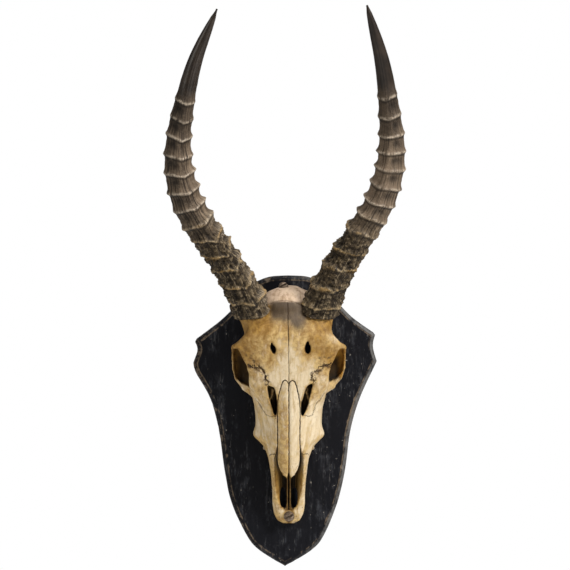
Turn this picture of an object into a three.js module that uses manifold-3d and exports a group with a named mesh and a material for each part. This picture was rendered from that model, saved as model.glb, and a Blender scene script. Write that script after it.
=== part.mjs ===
// A springbok skull trophy: an upper skull with ringed horns, screwed to a black wooden wall shield.
// Millimetres, +Z up. The origin is the middle of the shield's back face, the wall is the plane y = 0,
// and the trophy looks along -Y. Left and right are as seen from the front.
import * as THREE from "three";
import { mergeVertices } from "three/addons/utils/BufferGeometryUtils.js";
import Module from "manifold-3d";

const wasm = await Module();
wasm.setup();

// Driving dimensions of the shield
const shieldThickness = 18;
const edgeRoundWidth = 4;
const edgeRoundDepth = 5;
const pilotHoleDepth = 13;

// Driving dimensions of the skull, whose frame is x across, y into the shield, z up,
// with y = 0 on the shield's face and x = 0 on the skull's midline
const skullOffset = 3.2;
const gap = 0.35;
const neckOpening = { x: 0, z: 112, seat: 20, lean: Math.PI };
const sectionPoints = 16;
const sectionCount = 24;

// The two screws
const screwShankRadius = 2.1;
const screwHeadRadius = 5;
const screwHeadHeight = 3.4;
const screwSlotWidth = 1.3;
const screwSlotDepth = 1.5;
const noseScrew = { x: 0.3, z: -82, seat: 13, lean: 0, slotTurn: 0.44 };
const crownScrew = { x: -4.6, z: 117, seat: 43, lean: 0.5, slotTurn: 0.5 };

// The horns
const ringCount = 14;
const firstRing = 5;
const ringStep = 11.2;
const ringStretch = 0.28;
const ringUndercut = 2.8;
const hornSides = 14;
const socketDepth = 12;
const socketWall = 2.6;

const colours = {
  paint: { color: 0x1b1c20, roughness: 0.55, metalness: 0 },
  bone: { color: 0xd9c08c, roughness: 0.6, metalness: 0 },
  horn: { color: 0x4a4038, roughness: 0.45, metalness: 0 },
  enamel: { color: 0xe6dcc2, roughness: 0.3, metalness: 0 },
  screw: { color: 0x5b4a3e, roughness: 0.45, metalness: 0.8 },
};

// A point of the skull: across, out from the shield, up
const at = (across, out, up) => new THREE.Vector3(across, -out, up);

// A surface through rings of points, closed at both ends by a fan from the ring's middle
function loft(rings) {
  const count = rings[0].length;
  const points = rings.flat();
  const faces = [];
  for (let r = 0; r + 1 < rings.length; r++) {
    for (let i = 0; i < count; i++) {
      const next = (i + 1) % count;
      const [a, b] = [r * count + i, r * count + next];
      faces.push(a, b, b + count, a, b + count, a + count);
    }
  }
  for (const r of [0, rings.length - 1]) {
    const middle = points.length;
    points.push(rings[r].reduce((sum, p) => sum.add(p), new THREE.Vector3()).divideScalar(count));
    for (let i = 0; i < count; i++) {
      const [a, b] = [r * count + i, r * count + ((i + 1) % count)];
      faces.push(...(r === 0 ? [b, a, middle] : [a, b, middle]));
    }
  }
  const geometry = new THREE.BufferGeometry().setFromPoints(points).setIndex(faces);
  return facingOut(geometry);
}

// Turns the faces round where the surface is inside out
function facingOut(geometry) {
  const { position } = geometry.attributes;
  const index = geometry.index.array;
  const [a, b, c] = [new THREE.Vector3(), new THREE.Vector3(), new THREE.Vector3()];
  let volume = 0;
  for (let i = 0; i < index.length; i += 3) {
    [a, b, c].forEach((p, k) => p.fromBufferAttribute(position, index[i + k]));
    volume += a.dot(b.cross(c));
  }
  if (volume < 0) {
    for (let i = 0; i < index.length; i += 3) [index[i + 1], index[i + 2]] = [index[i + 2], index[i + 1]];
  }
  return geometry;
}

// A closed geometry as a solid that can be joined and cut
function solid(geometry) {
  const bare = geometry.clone();
  bare.deleteAttribute("normal");
  bare.deleteAttribute("uv");
  const merged = mergeVertices(bare, 1e-4);
  return new wasm.Manifold(
    new wasm.Mesh({
      numProp: 3,
      vertProperties: new Float32Array(merged.attributes.position.array),
      triVerts: new Uint32Array(merged.index.array),
    }),
  );
}

const join = (solids) => solids.reduce((a, b) => a.add(b));
const cut = (body, tools) => tools.reduce((a, b) => a.subtract(b), body);

function geometryOf(body) {
  const mesh = body.getMesh();
  return new THREE.BufferGeometry()
    .setAttribute("position", new THREE.BufferAttribute(new Float32Array(mesh.vertProperties), 3))
    .setIndex(new THREE.BufferAttribute(new Uint32Array(mesh.triVerts), 1));
}

function piece(name, geometry, look) {
  const mesh = new THREE.Mesh(geometry, new THREE.MeshStandardMaterial(look));
  mesh.name = name;
  return mesh;
}

// Small building shapes in the skull's frame
function ellipsoid(middle, radii, sides = 10) {
  const geometry = new THREE.SphereGeometry(1, sides, Math.round(0.7 * sides));
  geometry.scale(radii.x, -radii.y, radii.z);
  return solid(geometry.translate(middle.x, middle.y, middle.z));
}

// A round hole along a screw's axis, its ends measured outward from the seat of the screw's head
function screwHole({ x, z, seat, lean }, radius, from, to) {
  const geometry = new THREE.CylinderGeometry(radius, radius, to - from, 12);
  return geometry.translate(0, -(from + to) / 2, 0).rotateX(-lean).translate(x, -seat, z);
}

const screwReach = ({ seat, lean }) => seat / Math.cos(lean) + pilotHoleDepth;

// A tube along a curve, whose oval section has its own half width and half height at each point
function tube(path, halfWidths, halfHeights, up, sides = 8, steps = 12) {
  const curve = new THREE.CatmullRomCurve3(path);
  const rings = [];
  for (let i = 0; i <= steps; i++) {
    const t = i / steps;
    const along = curve.getTangent(t);
    const across = new THREE.Vector3().crossVectors(along, up).normalize();
    const over = new THREE.Vector3().crossVectors(across, along).normalize();
    const wide = between(halfWidths, t);
    const high = between(halfHeights, t);
    rings.push(
      Array.from({ length: sides }, (_, k) => {
        const angle = (2 * Math.PI * k) / sides;
        return curve
          .getPoint(t)
          .addScaledVector(across, wide * Math.cos(angle))
          .addScaledVector(over, high * Math.sin(angle));
      }),
    );
  }
  return solid(loft(rings));
}

// A value along a list of evenly spaced values
function between(values, t) {
  const place = t * (values.length - 1);
  const i = Math.min(Math.floor(place), values.length - 2);
  return THREE.MathUtils.lerp(values[i], values[i + 1], place - i);
}

// A value at x on the smooth curve through [x, value] pairs
function smooth(pairs, x) {
  const last = pairs.length - 1;
  const i = Math.max(0, pairs.findLastIndex((p, k) => p[0] <= x && k < last));
  const t = THREE.MathUtils.clamp((x - pairs[i][0]) / (pairs[i + 1][0] - pairs[i][0]), 0, 1);
  const value = (k) => pairs[THREE.MathUtils.clamp(k, 0, last)][1];
  const [p, q, r, s] = [value(i - 1), value(i), value(i + 1), value(i + 2)];
  const [m, n] = [(r - p) / 2, (s - q) / 2];
  return q + t * (m + t * (3 * (r - q) - 2 * m - n + t * (2 * (q - r) + m + n)));
}

// Shield: a hand-sawn board with a pointed foot, a notch under each shoulder and an arched top
function makeShield() {
  const outline = new THREE.Shape();
  const through = (...points) => outline.splineThru(points.map(([x, z]) => new THREE.Vector2(x, z)));
  outline.moveTo(0, -127);
  through([22, -112.5], [33, -98.5], [44.5, -70.5], [51.5, -42.5], [56.5, -8]);
  through([65, 20], [77, 46], [80.2, 52]);
  through([76.8, 65], [78.6, 75]);
  outline.lineTo(77, 77.3);
  through([59.3, 90], [46, 103.5], [32, 121]);
  through([19, 126], [2.5, 127], [-14, 125.8], [-27, 120.8]);
  through([-43, 101], [-57, 87], [-77.2, 71.8]);
  outline.lineTo(-78.6, 69);
  through([-76.6, 62], [-80.2, 50.5]);
  through([-77, 41.5], [-65.5, 20], [-57.5, -8]);
  through([-52.3, -42.5], [-46, -70.5], [-33, -98.5], [-22, -112.5], [0, -127]);
  const board = new THREE.ExtrudeGeometry(outline, {
    depth: shieldThickness,
    curveSegments: 2,
    bevelThickness: edgeRoundDepth,
    bevelSize: edgeRoundWidth,
    bevelOffset: -edgeRoundWidth,
    bevelSegments: 2,
  });
  board.translate(0, 0, -edgeRoundDepth).rotateX(Math.PI / 2);
  const wall = new THREE.BoxGeometry(300, 40, 400).translate(0, 20, 0);
  const hole = (screw) => {
    const geometry = screwHole(screw, screwShankRadius + gap, -screwReach(screw), 0);
    return solid(geometry.translate(skullOffset, -shieldThickness, 0));
  };
  const body = cut(solid(board), [solid(wall), hole(noseScrew), hole(crownScrew)]);
  return piece("shield", geometryOf(body), colours.paint);
}

// Skull sections from nose to crown: height, then how far the midline stands out,
// the shoulder, the widest point and the tooth edge as [across, out], and the midline's underside
const skullSections = [
  { up: -88.5, top: 7, shoulder: [3.5, 7], side: [5, 5.5], edge: [3.5, 3.5], under: 3 },
  { up: -86, top: 10, shoulder: [7, 9.5], side: [9.5, 6], edge: [7, 2.5], under: 2 },
  { up: -80, top: 13, shoulder: [9, 12.5], side: [12.8, 8], edge: [9, 2.5], under: 2 },
  { up: -72, top: 14, shoulder: [10.8, 14.5], side: [14, 10], edge: [10.5, 3], under: 2.5 },
  { up: -60, top: 19, shoulder: [11.5, 20], side: [14.2, 14], edge: [11.5, 4.5], under: 4 },
  { up: -45, top: 27, shoulder: [12.5, 29], side: [15.4, 20], edge: [13, 6.5], under: 6 },
  { up: -30, top: 38, shoulder: [12.5, 39], side: [17.6, 26], edge: [15, 9], under: 8.5 },
  { up: -20, top: 45, shoulder: [11.5, 45.5], side: [21.6, 27], edge: [19.5, 11], under: 9.5 },
  { up: -11, top: 48, shoulder: [11.5, 48.5], side: [29.9, 24], edge: [24, 11], under: 9.5 },
  { up: -2, top: 51, shoulder: [11.5, 51.5], side: [27.3, 28], edge: [25, 11], under: 9.5 },
  { up: 10, top: 55, shoulder: [12.5, 55], side: [26.5, 36], edge: [26.5, 11], under: 9.5 },
  { up: 20, top: 59, shoulder: [17, 58], side: [29.5, 40], edge: [27, 12], under: 10 },
  { up: 33, top: 64, shoulder: [24, 61], side: [35, 51], edge: [26, 14], under: 12 },
  { up: 45, top: 67.5, shoulder: [29, 64], side: [36.5, 55], edge: [22, 16], under: 14 },
  { up: 56, top: 71, shoulder: [33, 67], side: [40.5, 58], edge: [20, 16], under: 14 },
  { up: 65, top: 74, shoulder: [37, 69], side: [48.5, 58], edge: [22, 16], under: 14 },
  { up: 70, top: 75.5, shoulder: [36, 71.5], side: [45, 60], edge: [25, 17], under: 14 },
  { up: 76, top: 77, shoulder: [33, 74], side: [40, 62], edge: [27, 18], under: 14 },
  { up: 85, top: 79, shoulder: [31, 76], side: [36.5, 62], edge: [30, 20], under: 13 },
  { up: 95, top: 79, shoulder: [27, 75], side: [33, 54], edge: [30, 20], under: 11 },
  { up: 104, top: 66, shoulder: [20, 61], side: [28, 44], edge: [26, 22], under: 8 },
  { up: 112, top: 50, shoulder: [14, 47], side: [21, 38], edge: [18, 24], under: 14 },
  { up: 117, top: 40, shoulder: [8, 38.5], side: [11, 35], edge: [9, 30], under: 29 },
];

// The bone's outside as one loft, each section a closed curve of eight points
function skullShell() {
  const column = (pick) => skullSections.map((s) => [s.up, pick(s)]);
  const [low, high] = [skullSections[0].up, skullSections.at(-1).up];
  const columns = {
    top: column((s) => s.top),
    under: column((s) => s.under),
    ...Object.fromEntries(
      ["shoulder", "side", "edge"].flatMap((n) => [
        [n + "Across", column((s) => s[n][0])],
        [n + "Out", column((s) => s[n][1])],
      ]),
    ),
  };
  const rings = [];
  for (let i = 0; i < sectionCount; i++) {
    const up = THREE.MathUtils.lerp(low, high, i / (sectionCount - 1));
    const value = (name) => smooth(columns[name], up);
    const right = ["shoulder", "side", "edge"].map((n) => [value(n + "Across"), value(n + "Out")]);
    const left = right.map(([across, out]) => [-across, out]).reverse();
    const points = [[0, value("top")], ...right, [0, value("under")], ...left];
    const curve = new THREE.CatmullRomCurve3(points.map(([a, o]) => at(a, o, up)), true);
    rings.push(curve.getPoints(sectionPoints).slice(0, sectionPoints));
  }
  return solid(loft(rings));
}

// The paired nasal bones, a long roof over the nose with a groove along its middle
function nasalBones() {
  const halfWidths = [
    [-46.5, 3], [-44, 5], [-41, 6.8], [-36, 8.6], [-30, 9.4], [-12, 9.2], [13, 9.7], [24, 7.7], [37, 4],
  ];
  const heights = [[-46.5, 41], [-33, 46], [-12, 52.5], [13, 59.6], [24, 62.6], [37, 66.3]];
  const rings = [];
  for (const up of [-46.5, -44, -41, -36, -28, -12, 4, 13, 20, 28, 37]) {
    const wide = smooth(halfWidths, up);
    const out = smooth(heights, up);
    const right = [[0.5 * wide, out], [wide, out - 2.2], [0.9 * wide, out - 5.5]];
    const left = right.map(([a, o]) => [-a, o]).reverse();
    rings.push([[0, out - 1], ...right, [0, out - 5], ...left].map(([a, o]) => at(a, o, up)));
  }
  return solid(loft(rings));
}

// The nose's hollow, open to the front between the premaxillae and running back under the nasals
function noseHollow() {
  const stations = [
    { up: -77, rim: 4, floor: 2, from: 9.5, to: 24 },
    { up: -71, rim: 8.6, floor: 5, from: 8, to: 28 },
    { up: -62, rim: 10.8, floor: 6, from: 7, to: 34 },
    { up: -45, rim: 11.6, floor: 6, from: 9, to: 44 },
    { up: -30, rim: 12, floor: 6.5, from: 11, to: 50 },
    { up: -18, rim: 9, floor: 6, from: 14, to: 44 },
    { up: 8, rim: 8, floor: 6, from: 20, to: 48 },
    { up: 30, rim: 6, floor: 4, from: 32, to: 50 },
  ];
  const ring = ({ up, rim, floor, from, to }) => {
    const half = [[rim, to], [rim, (from + to) / 2], [floor, from]];
    return [...half, ...half.map(([a, o]) => [-a, o]).reverse()].map(([a, o]) => at(a, o, up));
  };
  return solid(loft(stations.map(ring)));
}

// The paired slit openings beside the nasals, which open into the nose
function slitOpening(side) {
  const corners = [[18, 33], [13, 32], [9.8, 20], [12, 9], [15.8, 12], [17.2, 25]];
  const outline = new THREE.Shape(corners.map(([x, z]) => new THREE.Vector2(side * x, z)));
  const prism = new THREE.ExtrudeGeometry(outline, { depth: 40, bevelEnabled: false });
  return solid(prism.rotateX(Math.PI / 2).translate(0, -36, 0));
}

// Orbit rim: the cheek bone's edge, round under the eye and up the bar behind it to the forehead
function orbitRim(side) {
  const path = [
    [25, 32, 16], [31, 27, 25.5], [38.5, 22, 31.5], [44, 19.5, 38], [46.8, 21, 48], [47.6, 30, 57],
    [47.6, 43, 62], [45.5, 55, 64.5], [38, 62, 66],
  ].map(([across, out, up]) => at(side * across, out, up));
  const [depths, widths] = [[9, 8.5, 7.5, 6, 5, 4.5, 4.5, 6], [3.4, 3, 2.6, 2.2, 1.9, 1.7, 1.9, 3]];
  return tube(path, depths, widths, new THREE.Vector3(side, 0, 0), 8, 12);
}

// Cheek arch: from the cheek bone back to the ear
function cheekArch(side) {
  const path = [
    [45.5, 18, 36], [45, 15, 50], [41, 14, 64], [35, 17, 78], [28, 21, 90],
  ].map(([across, out, up]) => at(side * across, out, up));
  return tube(path, [5, 4, 4, 5, 7], [2.4, 2.2, 2.2, 2.6, 4], new THREE.Vector3(side, 0, 0), 6, 6);
}

// Cheek teeth of one side, front to back: name, length along the row and breadth across it
const toothRow = [
  { name: "premolar_1", length: 7.5, breadth: 7 },
  { name: "premolar_2", length: 8.5, breadth: 8.5 },
  { name: "premolar_3", length: 8.5, breadth: 9.5 },
  { name: "molar_1", length: 11.5, breadth: 11 },
  { name: "molar_2", length: 13, breadth: 11.5 },
  { name: "molar_3", length: 13.5, breadth: 11 },
];
const rowStart = -24.5;
const toothSpacing = 0.6;
const rowOuterEdge = [[-25, 21.6], [-17, 23.4], [-2, 25.6], [20, 27], [42, 26]];
const chewingFace = 0.4;
const rootEnd = 17;

// One cheek tooth as a bilobed prism, grown all round by a little for its socket
function toothPrism(tooth, side, from, grow) {
  const length = tooth.length / 2 + grow;
  const breadth = tooth.breadth / 2 + grow;
  const middle = from + tooth.length / 2;
  const across = side * (smooth(rowOuterEdge, middle) - tooth.breadth / 2);
  const half = [[0.5, 1], [0.98, 0.75], [0.9, -0.7], [0.4, -1]];
  const outline = [[0, 0.72], ...half, [0, -0.86], ...half.map(([l, b]) => [-l, b]).reverse()];
  const shape = new THREE.Shape(outline.map(([l, b]) => new THREE.Vector2(side * b * breadth, l * length)));
  const depth = rootEnd + grow - chewingFace;
  const prism = new THREE.ExtrudeGeometry(shape, { depth, bevelEnabled: false });
  return prism.rotateX(Math.PI / 2).translate(across, -chewingFace, middle);
}

function eachTooth(side, make) {
  let from = rowStart;
  return toothRow.map((tooth) => {
    const made = make(tooth, side, from);
    from += tooth.length + toothSpacing;
    return made;
  });
}

// Horn of one side: the points that its middle follows, across, out and up
const hornPaths = {
  left: [
    [-32, 56, 98], [-41, 65, 118], [-49.5, 71, 133], [-68.5, 80, 160], [-84, 86, 186.5], [-91.5, 91.5, 214],
    [-91.8, 96.5, 241], [-86.5, 106, 274], [-78, 117.5, 304], [-58.8, 136, 344.5],
  ],
  right: [
    [27, 56, 98], [34.8, 65, 118], [42, 71, 133], [58.5, 80, 160], [74.5, 86, 186.5], [84, 91.5, 214],
    [85.6, 96.5, 241], [82, 106, 274], [76, 117.5, 304], [63.2, 137, 347.5],
  ],
};
const hornHalfWidth = [
  [0, 14.6], [20, 14], [60, 14], [90, 13.6], [120, 12.6], [148, 11.2], [175, 9.2], [203, 7.5], [231, 5.7],
  [261, 3.2], [279, 0.7],
];
const hornDepthRatio = [[0, 1.3], [90, 1.25], [200, 1.08], [280, 1]];
const ringRise = [[0, 0.8], [25, 1.5], [90, 1.7], [150, 1.4], [200, 0.7], [215, 0]];
const ringDip = [[0, 0], [20, 1.5], [120, 2], [190, 2], [215, 0], [280, 0]];

const ringPlace = (i) => firstRing + ringStep * i + ringStretch * i * i;
const ringPlaces = Array.from({ length: ringCount }, (_, i) => ringPlace(i));

// One section of a horn: where it is along the middle, how much ring it carries and how far in it lies
function hornSection(curve, length, side, along, ring, inset = 0) {
  const t = THREE.MathUtils.clamp(along / length, 0, 1);
  const forward = curve.getTangentAt(t);
  const middle = curve.getPointAt(t);
  const front = new THREE.Vector3(0, -1, 0).addScaledVector(forward, forward.y).normalize();
  const outer = new THREE.Vector3().crossVectors(forward, front).multiplyScalar(-side).normalize();
  const wide = smooth(hornHalfWidth, along) - inset;
  const deep = smooth(hornHalfWidth, along) * smooth(hornDepthRatio, along) - inset;
  return Array.from({ length: hornSides }, (_, k) => {
    const angle = (2 * Math.PI * k) / hornSides;
    const facing = Math.cos(angle);
    const keel = 1 + 0.05 * Math.max(0, facing) ** 6;
    const uneven = 0.7 + 0.2 * facing - 0.35 * Math.sin(angle);
    const rise = smooth(ringRise, along) * ring * uneven;
    const dip = inset ? 0 : smooth(ringDip, along) * Math.max(0, facing) ** 2;
    return middle
      .clone()
      .addScaledVector(front, (deep * keel + rise) * facing)
      .addScaledVector(outer, (wide + rise) * Math.sin(angle))
      .addScaledVector(forward, -dip);
  });
}

function hornCurve(side) {
  const path = hornPaths[side < 0 ? "left" : "right"].map(([across, out, up]) => at(across, out, up));
  return new THREE.CatmullRomCurve3(path);
}

// A hollow-based horn sheath with a collar at each ring and a smooth tip
function makeHorn(name, side) {
  const curve = hornCurve(side);
  const length = curve.getLength();
  const section = (along, ring, inset) => hornSection(curve, length, side, along, ring, inset);
  const rings = [section(socketDepth, 0, socketWall + 3), section(0, 0, socketWall), section(0, 0)];
  for (const place of ringPlaces) {
    rings.push(section(place - ringUndercut, -0.8), section(place, 1.2), section(place + 5, 0.25));
  }
  const tipStart = ringPlaces.at(-1) + 12;
  for (let i = 0; i <= 6; i++) rings.push(section(THREE.MathUtils.lerp(tipStart, length, i / 6), 0));
  return piece(name, loft(rings), colours.horn);
}

// Pedicle: the stump of bone that a horn sits on, with a plug that fills the horn's hollow base
function pedicle(side) {
  const curve = hornCurve(side);
  const length = curve.getLength();
  const back = curve.getTangentAt(0);
  const move = (ring, by) => ring.map((p) => p.clone().addScaledVector(back, by));
  const collar = hornSection(curve, length, side, 0, 0, 1.6);
  const plug = hornSection(curve, length, side, 0, 0, socketWall + gap);
  const plugEnd = hornSection(curve, length, side, socketDepth, 0, socketWall + 3 + gap);
  const stump = [-26, -12, -gap].map((by) => move(collar, by));
  return solid(loft([...stump, plug, move(plugEnd, -gap - 0.4)]));
}

// The room that a horn's base needs above its seat on the bone
function hornRoom(side) {
  const curve = hornCurve(side);
  const length = curve.getLength();
  const seat = hornSection(curve, length, side, 0, 0, -1.6);
  const back = curve.getTangentAt(0);
  const room = [0, 12, 26].map((along) => hornSection(curve, length, side, along, 0, -1.6));
  return solid(loft([seat.map((p) => p.clone().addScaledVector(back, -gap)), ...room]));
}

function makeSkull() {
  const sides = [-1, 1];
  const hollows = [
    noseHollow(),
    ...sides.flatMap((side) => [
      ellipsoid(at(side * 45, 38, 43), at(24, 19, 19.5), 14),
      ellipsoid(at(side * 46, 39, 79), at(16, 17, 17), 10),
      ellipsoid(at(side * 6.6, 5, -64.5), at(3.8, 9, 13), 8),
      ellipsoid(at(side * 15.6, 74, 66.5), at(2.3, 9, 4.4), 8),
    ]),
  ];
  const grown = [
    nasalBones(),
    ...sides.flatMap((side) => [
      orbitRim(side),
      cheekArch(side),
      ellipsoid(at(side * 16, 13, 92), at(9, 9, 13), 8),
      ellipsoid(at(side * 9.5, 13, 106), at(6, 9, 8), 8),
    ]),
  ];
  const noseNotch = solid(new THREE.BoxGeometry(1.4, 30, 16).translate(noseScrew.x, 0, -86));
  const cuts = [
    ...sides.map(slitOpening),
    ...sides.flatMap((side) => eachTooth(side, (...place) => solid(toothPrism(...place, gap)))),
    noseNotch,
    ...[noseScrew, crownScrew].flatMap((screw) => [
      solid(screwHole(screw, screwShankRadius + gap, -screwReach(screw), 2)),
      solid(screwHole(screw, screwHeadRadius + gap, -gap, 12)),
    ]),
    solid(screwHole(neckOpening, 7.5, 0, 24)),
  ];
  const cheeks = sides.map((side) => ellipsoid(at(side * 28, 19, 40), at(16, 8, 20), 10));
  const shell = cut(join([skullShell(), ...cheeks]), sides.map(hornRoom));
  const bone = cut(join([cut(join([shell, ...sides.map(pedicle)]), hollows), ...grown]), cuts);
  return piece("skull", geometryOf(bone), colours.bone);
}

// A slotted wood screw, its domed head on the bone and its shank in the shield
function makeScrew(name, screw) {
  const end = -screwReach(screw);
  const dome = [0.15, 0.5, 0.85, 1].map((t) => {
    const angle = (t * Math.PI) / 2;
    return new THREE.Vector2(screwHeadRadius * Math.cos(angle), 1 + (screwHeadHeight - 1) * Math.sin(angle));
  });
  const profile = [
    new THREE.Vector2(0, end + 2),
    new THREE.Vector2(screwShankRadius * 0.5, end + 4),
    new THREE.Vector2(screwShankRadius, end + 8),
    new THREE.Vector2(screwShankRadius, 0),
    new THREE.Vector2(screwHeadRadius, 0),
    ...dome.slice(0, -1),
    new THREE.Vector2(0, screwHeadHeight),
  ];
  const body = new THREE.LatheGeometry(profile, 14);
  const slot = new THREE.BoxGeometry(3 * screwHeadRadius, 2 * screwSlotDepth, screwSlotWidth);
  slot.translate(0, screwHeadHeight, 0).rotateY(-screw.slotTurn);
  const geometry = geometryOf(cut(solid(facingOut(body)), [solid(slot)]));
  geometry.rotateZ(Math.PI).rotateX(-screw.lean).translate(screw.x, -screw.seat, screw.z);
  return piece(name, geometry, colours.screw);
}

const head = new THREE.Group();
head.position.set(skullOffset, -shieldThickness, 0);
head.add(makeSkull());
for (const [word, side] of [["left", -1], ["right", 1]]) {
  head.add(makeHorn(`${word}_horn`, side));
  const tooth = (t, ...place) => piece(`${word}_${t.name}`, toothPrism(t, ...place, 0), colours.enamel);
  head.add(...eachTooth(side, tooth));
}
head.add(makeScrew("nose_screw", noseScrew), makeScrew("crown_screw", crownScrew));

const trophy = new THREE.Group();
trophy.add(makeShield(), head);

export default trophy;
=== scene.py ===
import math

import bpy
import numpy as np
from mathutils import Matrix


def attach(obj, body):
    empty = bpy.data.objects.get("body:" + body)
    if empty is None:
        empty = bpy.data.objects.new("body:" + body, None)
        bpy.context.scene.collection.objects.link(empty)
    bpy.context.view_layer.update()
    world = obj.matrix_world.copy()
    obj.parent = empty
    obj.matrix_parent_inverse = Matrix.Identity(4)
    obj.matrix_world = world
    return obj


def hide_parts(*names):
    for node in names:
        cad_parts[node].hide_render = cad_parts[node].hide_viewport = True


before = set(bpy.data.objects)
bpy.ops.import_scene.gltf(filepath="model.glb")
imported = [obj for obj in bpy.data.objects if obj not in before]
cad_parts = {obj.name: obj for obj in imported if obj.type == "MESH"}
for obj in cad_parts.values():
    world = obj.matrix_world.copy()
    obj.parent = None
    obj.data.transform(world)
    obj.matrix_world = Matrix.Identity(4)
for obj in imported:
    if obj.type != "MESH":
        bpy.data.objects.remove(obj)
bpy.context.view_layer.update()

import openvdb
from mathutils import Vector

mm = 0.001
# the skull's own frame is in mm: across from its midline, out from the shield's face, and up
place = dict(midline=3.2, shieldFace=18.0)


def toWorld(points):
    across, out, up = np.asarray(points, float).T
    return np.stack([across + place["midline"], -(out + place["shieldFace"]), up], 1) * mm


def through(p, q, r, s, t):  # a smooth step from q to r, heading as its neighbours p and s do
    m, n = (r - p) / 2, (s - q) / 2
    return q + t * (m + t * (3 * (r - q) - 2 * m - n + t * (2 * (q - r) + m + n)))


def flow(pairs, x):  # a smooth curve through (x, value) pairs
    xs, ys = np.array(pairs, float).T
    last = len(xs) - 1
    i = np.clip(np.searchsorted(xs, x, side="right") - 1, 0, last - 1)
    t = np.clip((x - xs[i]) / (xs[i + 1] - xs[i]), 0, 1)
    return through(ys[np.maximum(i - 1, 0)], ys[i], ys[i + 1], ys[np.minimum(i + 2, last)], t)


def fade(x, start, end):  # 0 at start, 1 at end, smooth between
    t = np.clip((x - start) / (end - start), 0, 1)
    return t * t * (3 - 2 * t)


def bell(x, middle, width):
    return np.exp(-(((x - middle) / width) ** 2))


def lengthsOf(line, power=1.0):  # running length at each point of a line
    return np.concatenate([[0], np.cumsum(np.linalg.norm(np.diff(line, axis=0), axis=1) ** power)])


def alongLine(at, gone, line):  # points of a line at those running lengths
    return np.stack([np.interp(at, gone, values) for values in line.T], 1)


def inCells(table, cell, part):  # values inside a grid's cells, from the eight corners of each
    total = np.zeros(len(cell))
    for corner in np.ndindex(2, 2, 2):
        weight = np.prod(np.where(np.array(corner) == 1, part, 1 - part), axis=1)
        i, j, k = ((cell + corner) % table.shape).T
        total += weight * table[i, j, k]
    return total


noiseTable = np.random.default_rng(11).uniform(-1, 1, (32, 32, 32))


def lumps(points, size, shift=0.0):  # smooth random lumps of about that size, from -1 to 1
    spot = np.asarray(points, float) / size + shift
    cell = np.floor(spot).astype(int)
    return inCells(noiseTable, cell, fade(spot - cell, 0, 1))


def softMin(a, b, soft):
    if not soft:
        return np.minimum(a, b)
    h = np.clip(0.5 + 0.5 * (b - a) / soft, 0, 1)
    return b + (a - b) * h - soft * h * (1 - h)


def highest(*gaps):  # the largest of several distances at each point
    return np.maximum.reduce(np.broadcast_arrays(*gaps))


class Block:
    # distances in mm on a grid, below zero inside
    far = 20.0

    def __init__(self, low, high, step):
        self.low, self.step = np.array(low, float), step
        self.counts = np.ceil((np.array(high, float) - self.low) / step).astype(int) + 1
        self.value = np.full(self.counts, self.far, np.float32)

    def window(self, low, high):
        first = np.clip(np.floor((np.array(low) - self.low) / self.step).astype(int), 0, self.counts - 1)
        last = np.clip(np.ceil((np.array(high) - self.low) / self.step).astype(int) + 1, 1, self.counts)
        spots = [self.low[k] + self.step * np.arange(first[k], last[k]) for k in range(3)]
        region = tuple(slice(first[k], last[k]) for k in range(3))
        return region, np.meshgrid(*[s.astype(np.float32) for s in spots], indexing="ij", sparse=True)

    # shape is a function of across, out, up; pair makes it on both sides
    def change(self, shape, low, high, soft, pair, sign):
        margin = 2 * self.step + soft
        low, high = np.array(low, float) - margin, np.array(high, float) + margin
        if pair:
            low[0] = -high[0]
        region, (u, d, z) = self.window(low, high)
        made = shape(np.abs(u) if pair else u, d, z)
        self.value[region] = sign * softMin(sign * self.value[region], made, soft)

    def grow(self, shape, low, high, soft=0.0, pair=True):
        self.change(shape, low, high, soft, pair, 1)

    def carve(self, shape, low, high, soft=0.0, pair=True):
        self.change(shape, low, high, soft, pair, -1)

    def at(self, points):  # distance at any points
        spot = np.clip((points - self.low) / self.step, 0, self.counts - 1.001)
        cell = spot.astype(int)
        return inCells(self.value, cell, spot - cell)

    def slope(self, points, reach):
        steps = np.eye(3) * reach
        made = np.stack([self.at(points + s) - self.at(points - s) for s in steps], 1)
        return made / np.maximum(np.linalg.norm(made, axis=1, keepdims=True), 1e-9)

    def skin(self):  # the surface as points and quads, without crumbs
        grid = openvdb.FloatGrid(self.far)
        grid.copyFromArray(self.value)
        points, quads = grid.convertToQuads(0.0)
        quads = quads.astype(int)
        body = np.arange(len(points))
        while True:
            lowest = body[quads].min(axis=1)
            new = body.copy()
            for k in range(4):
                np.minimum.at(new, quads[:, k], lowest)
            new = new[new]
            if np.array_equal(new, body):
                break
            body = new
        main = np.bincount(body).argmax()
        quads = quads[body[quads[:, 0]] == main]
        kept = np.unique(quads)
        number = np.zeros(len(points), int)
        number[kept] = np.arange(len(kept))
        return self.low + points[kept] * self.step, number[quads]


def egg(middle, radii):
    def shape(u, d, z):
        x, y, w = ((v - m) / r for v, m, r in zip((u, d, z), middle, radii))
        near = np.sqrt(x * x + y * y + w * w)
        rate = np.sqrt((x / radii[0]) ** 2 + (y / radii[1]) ** 2 + (w / radii[2]) ** 2)
        return near * (near - 1) / np.maximum(rate, 1e-6)

    return shape


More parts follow.
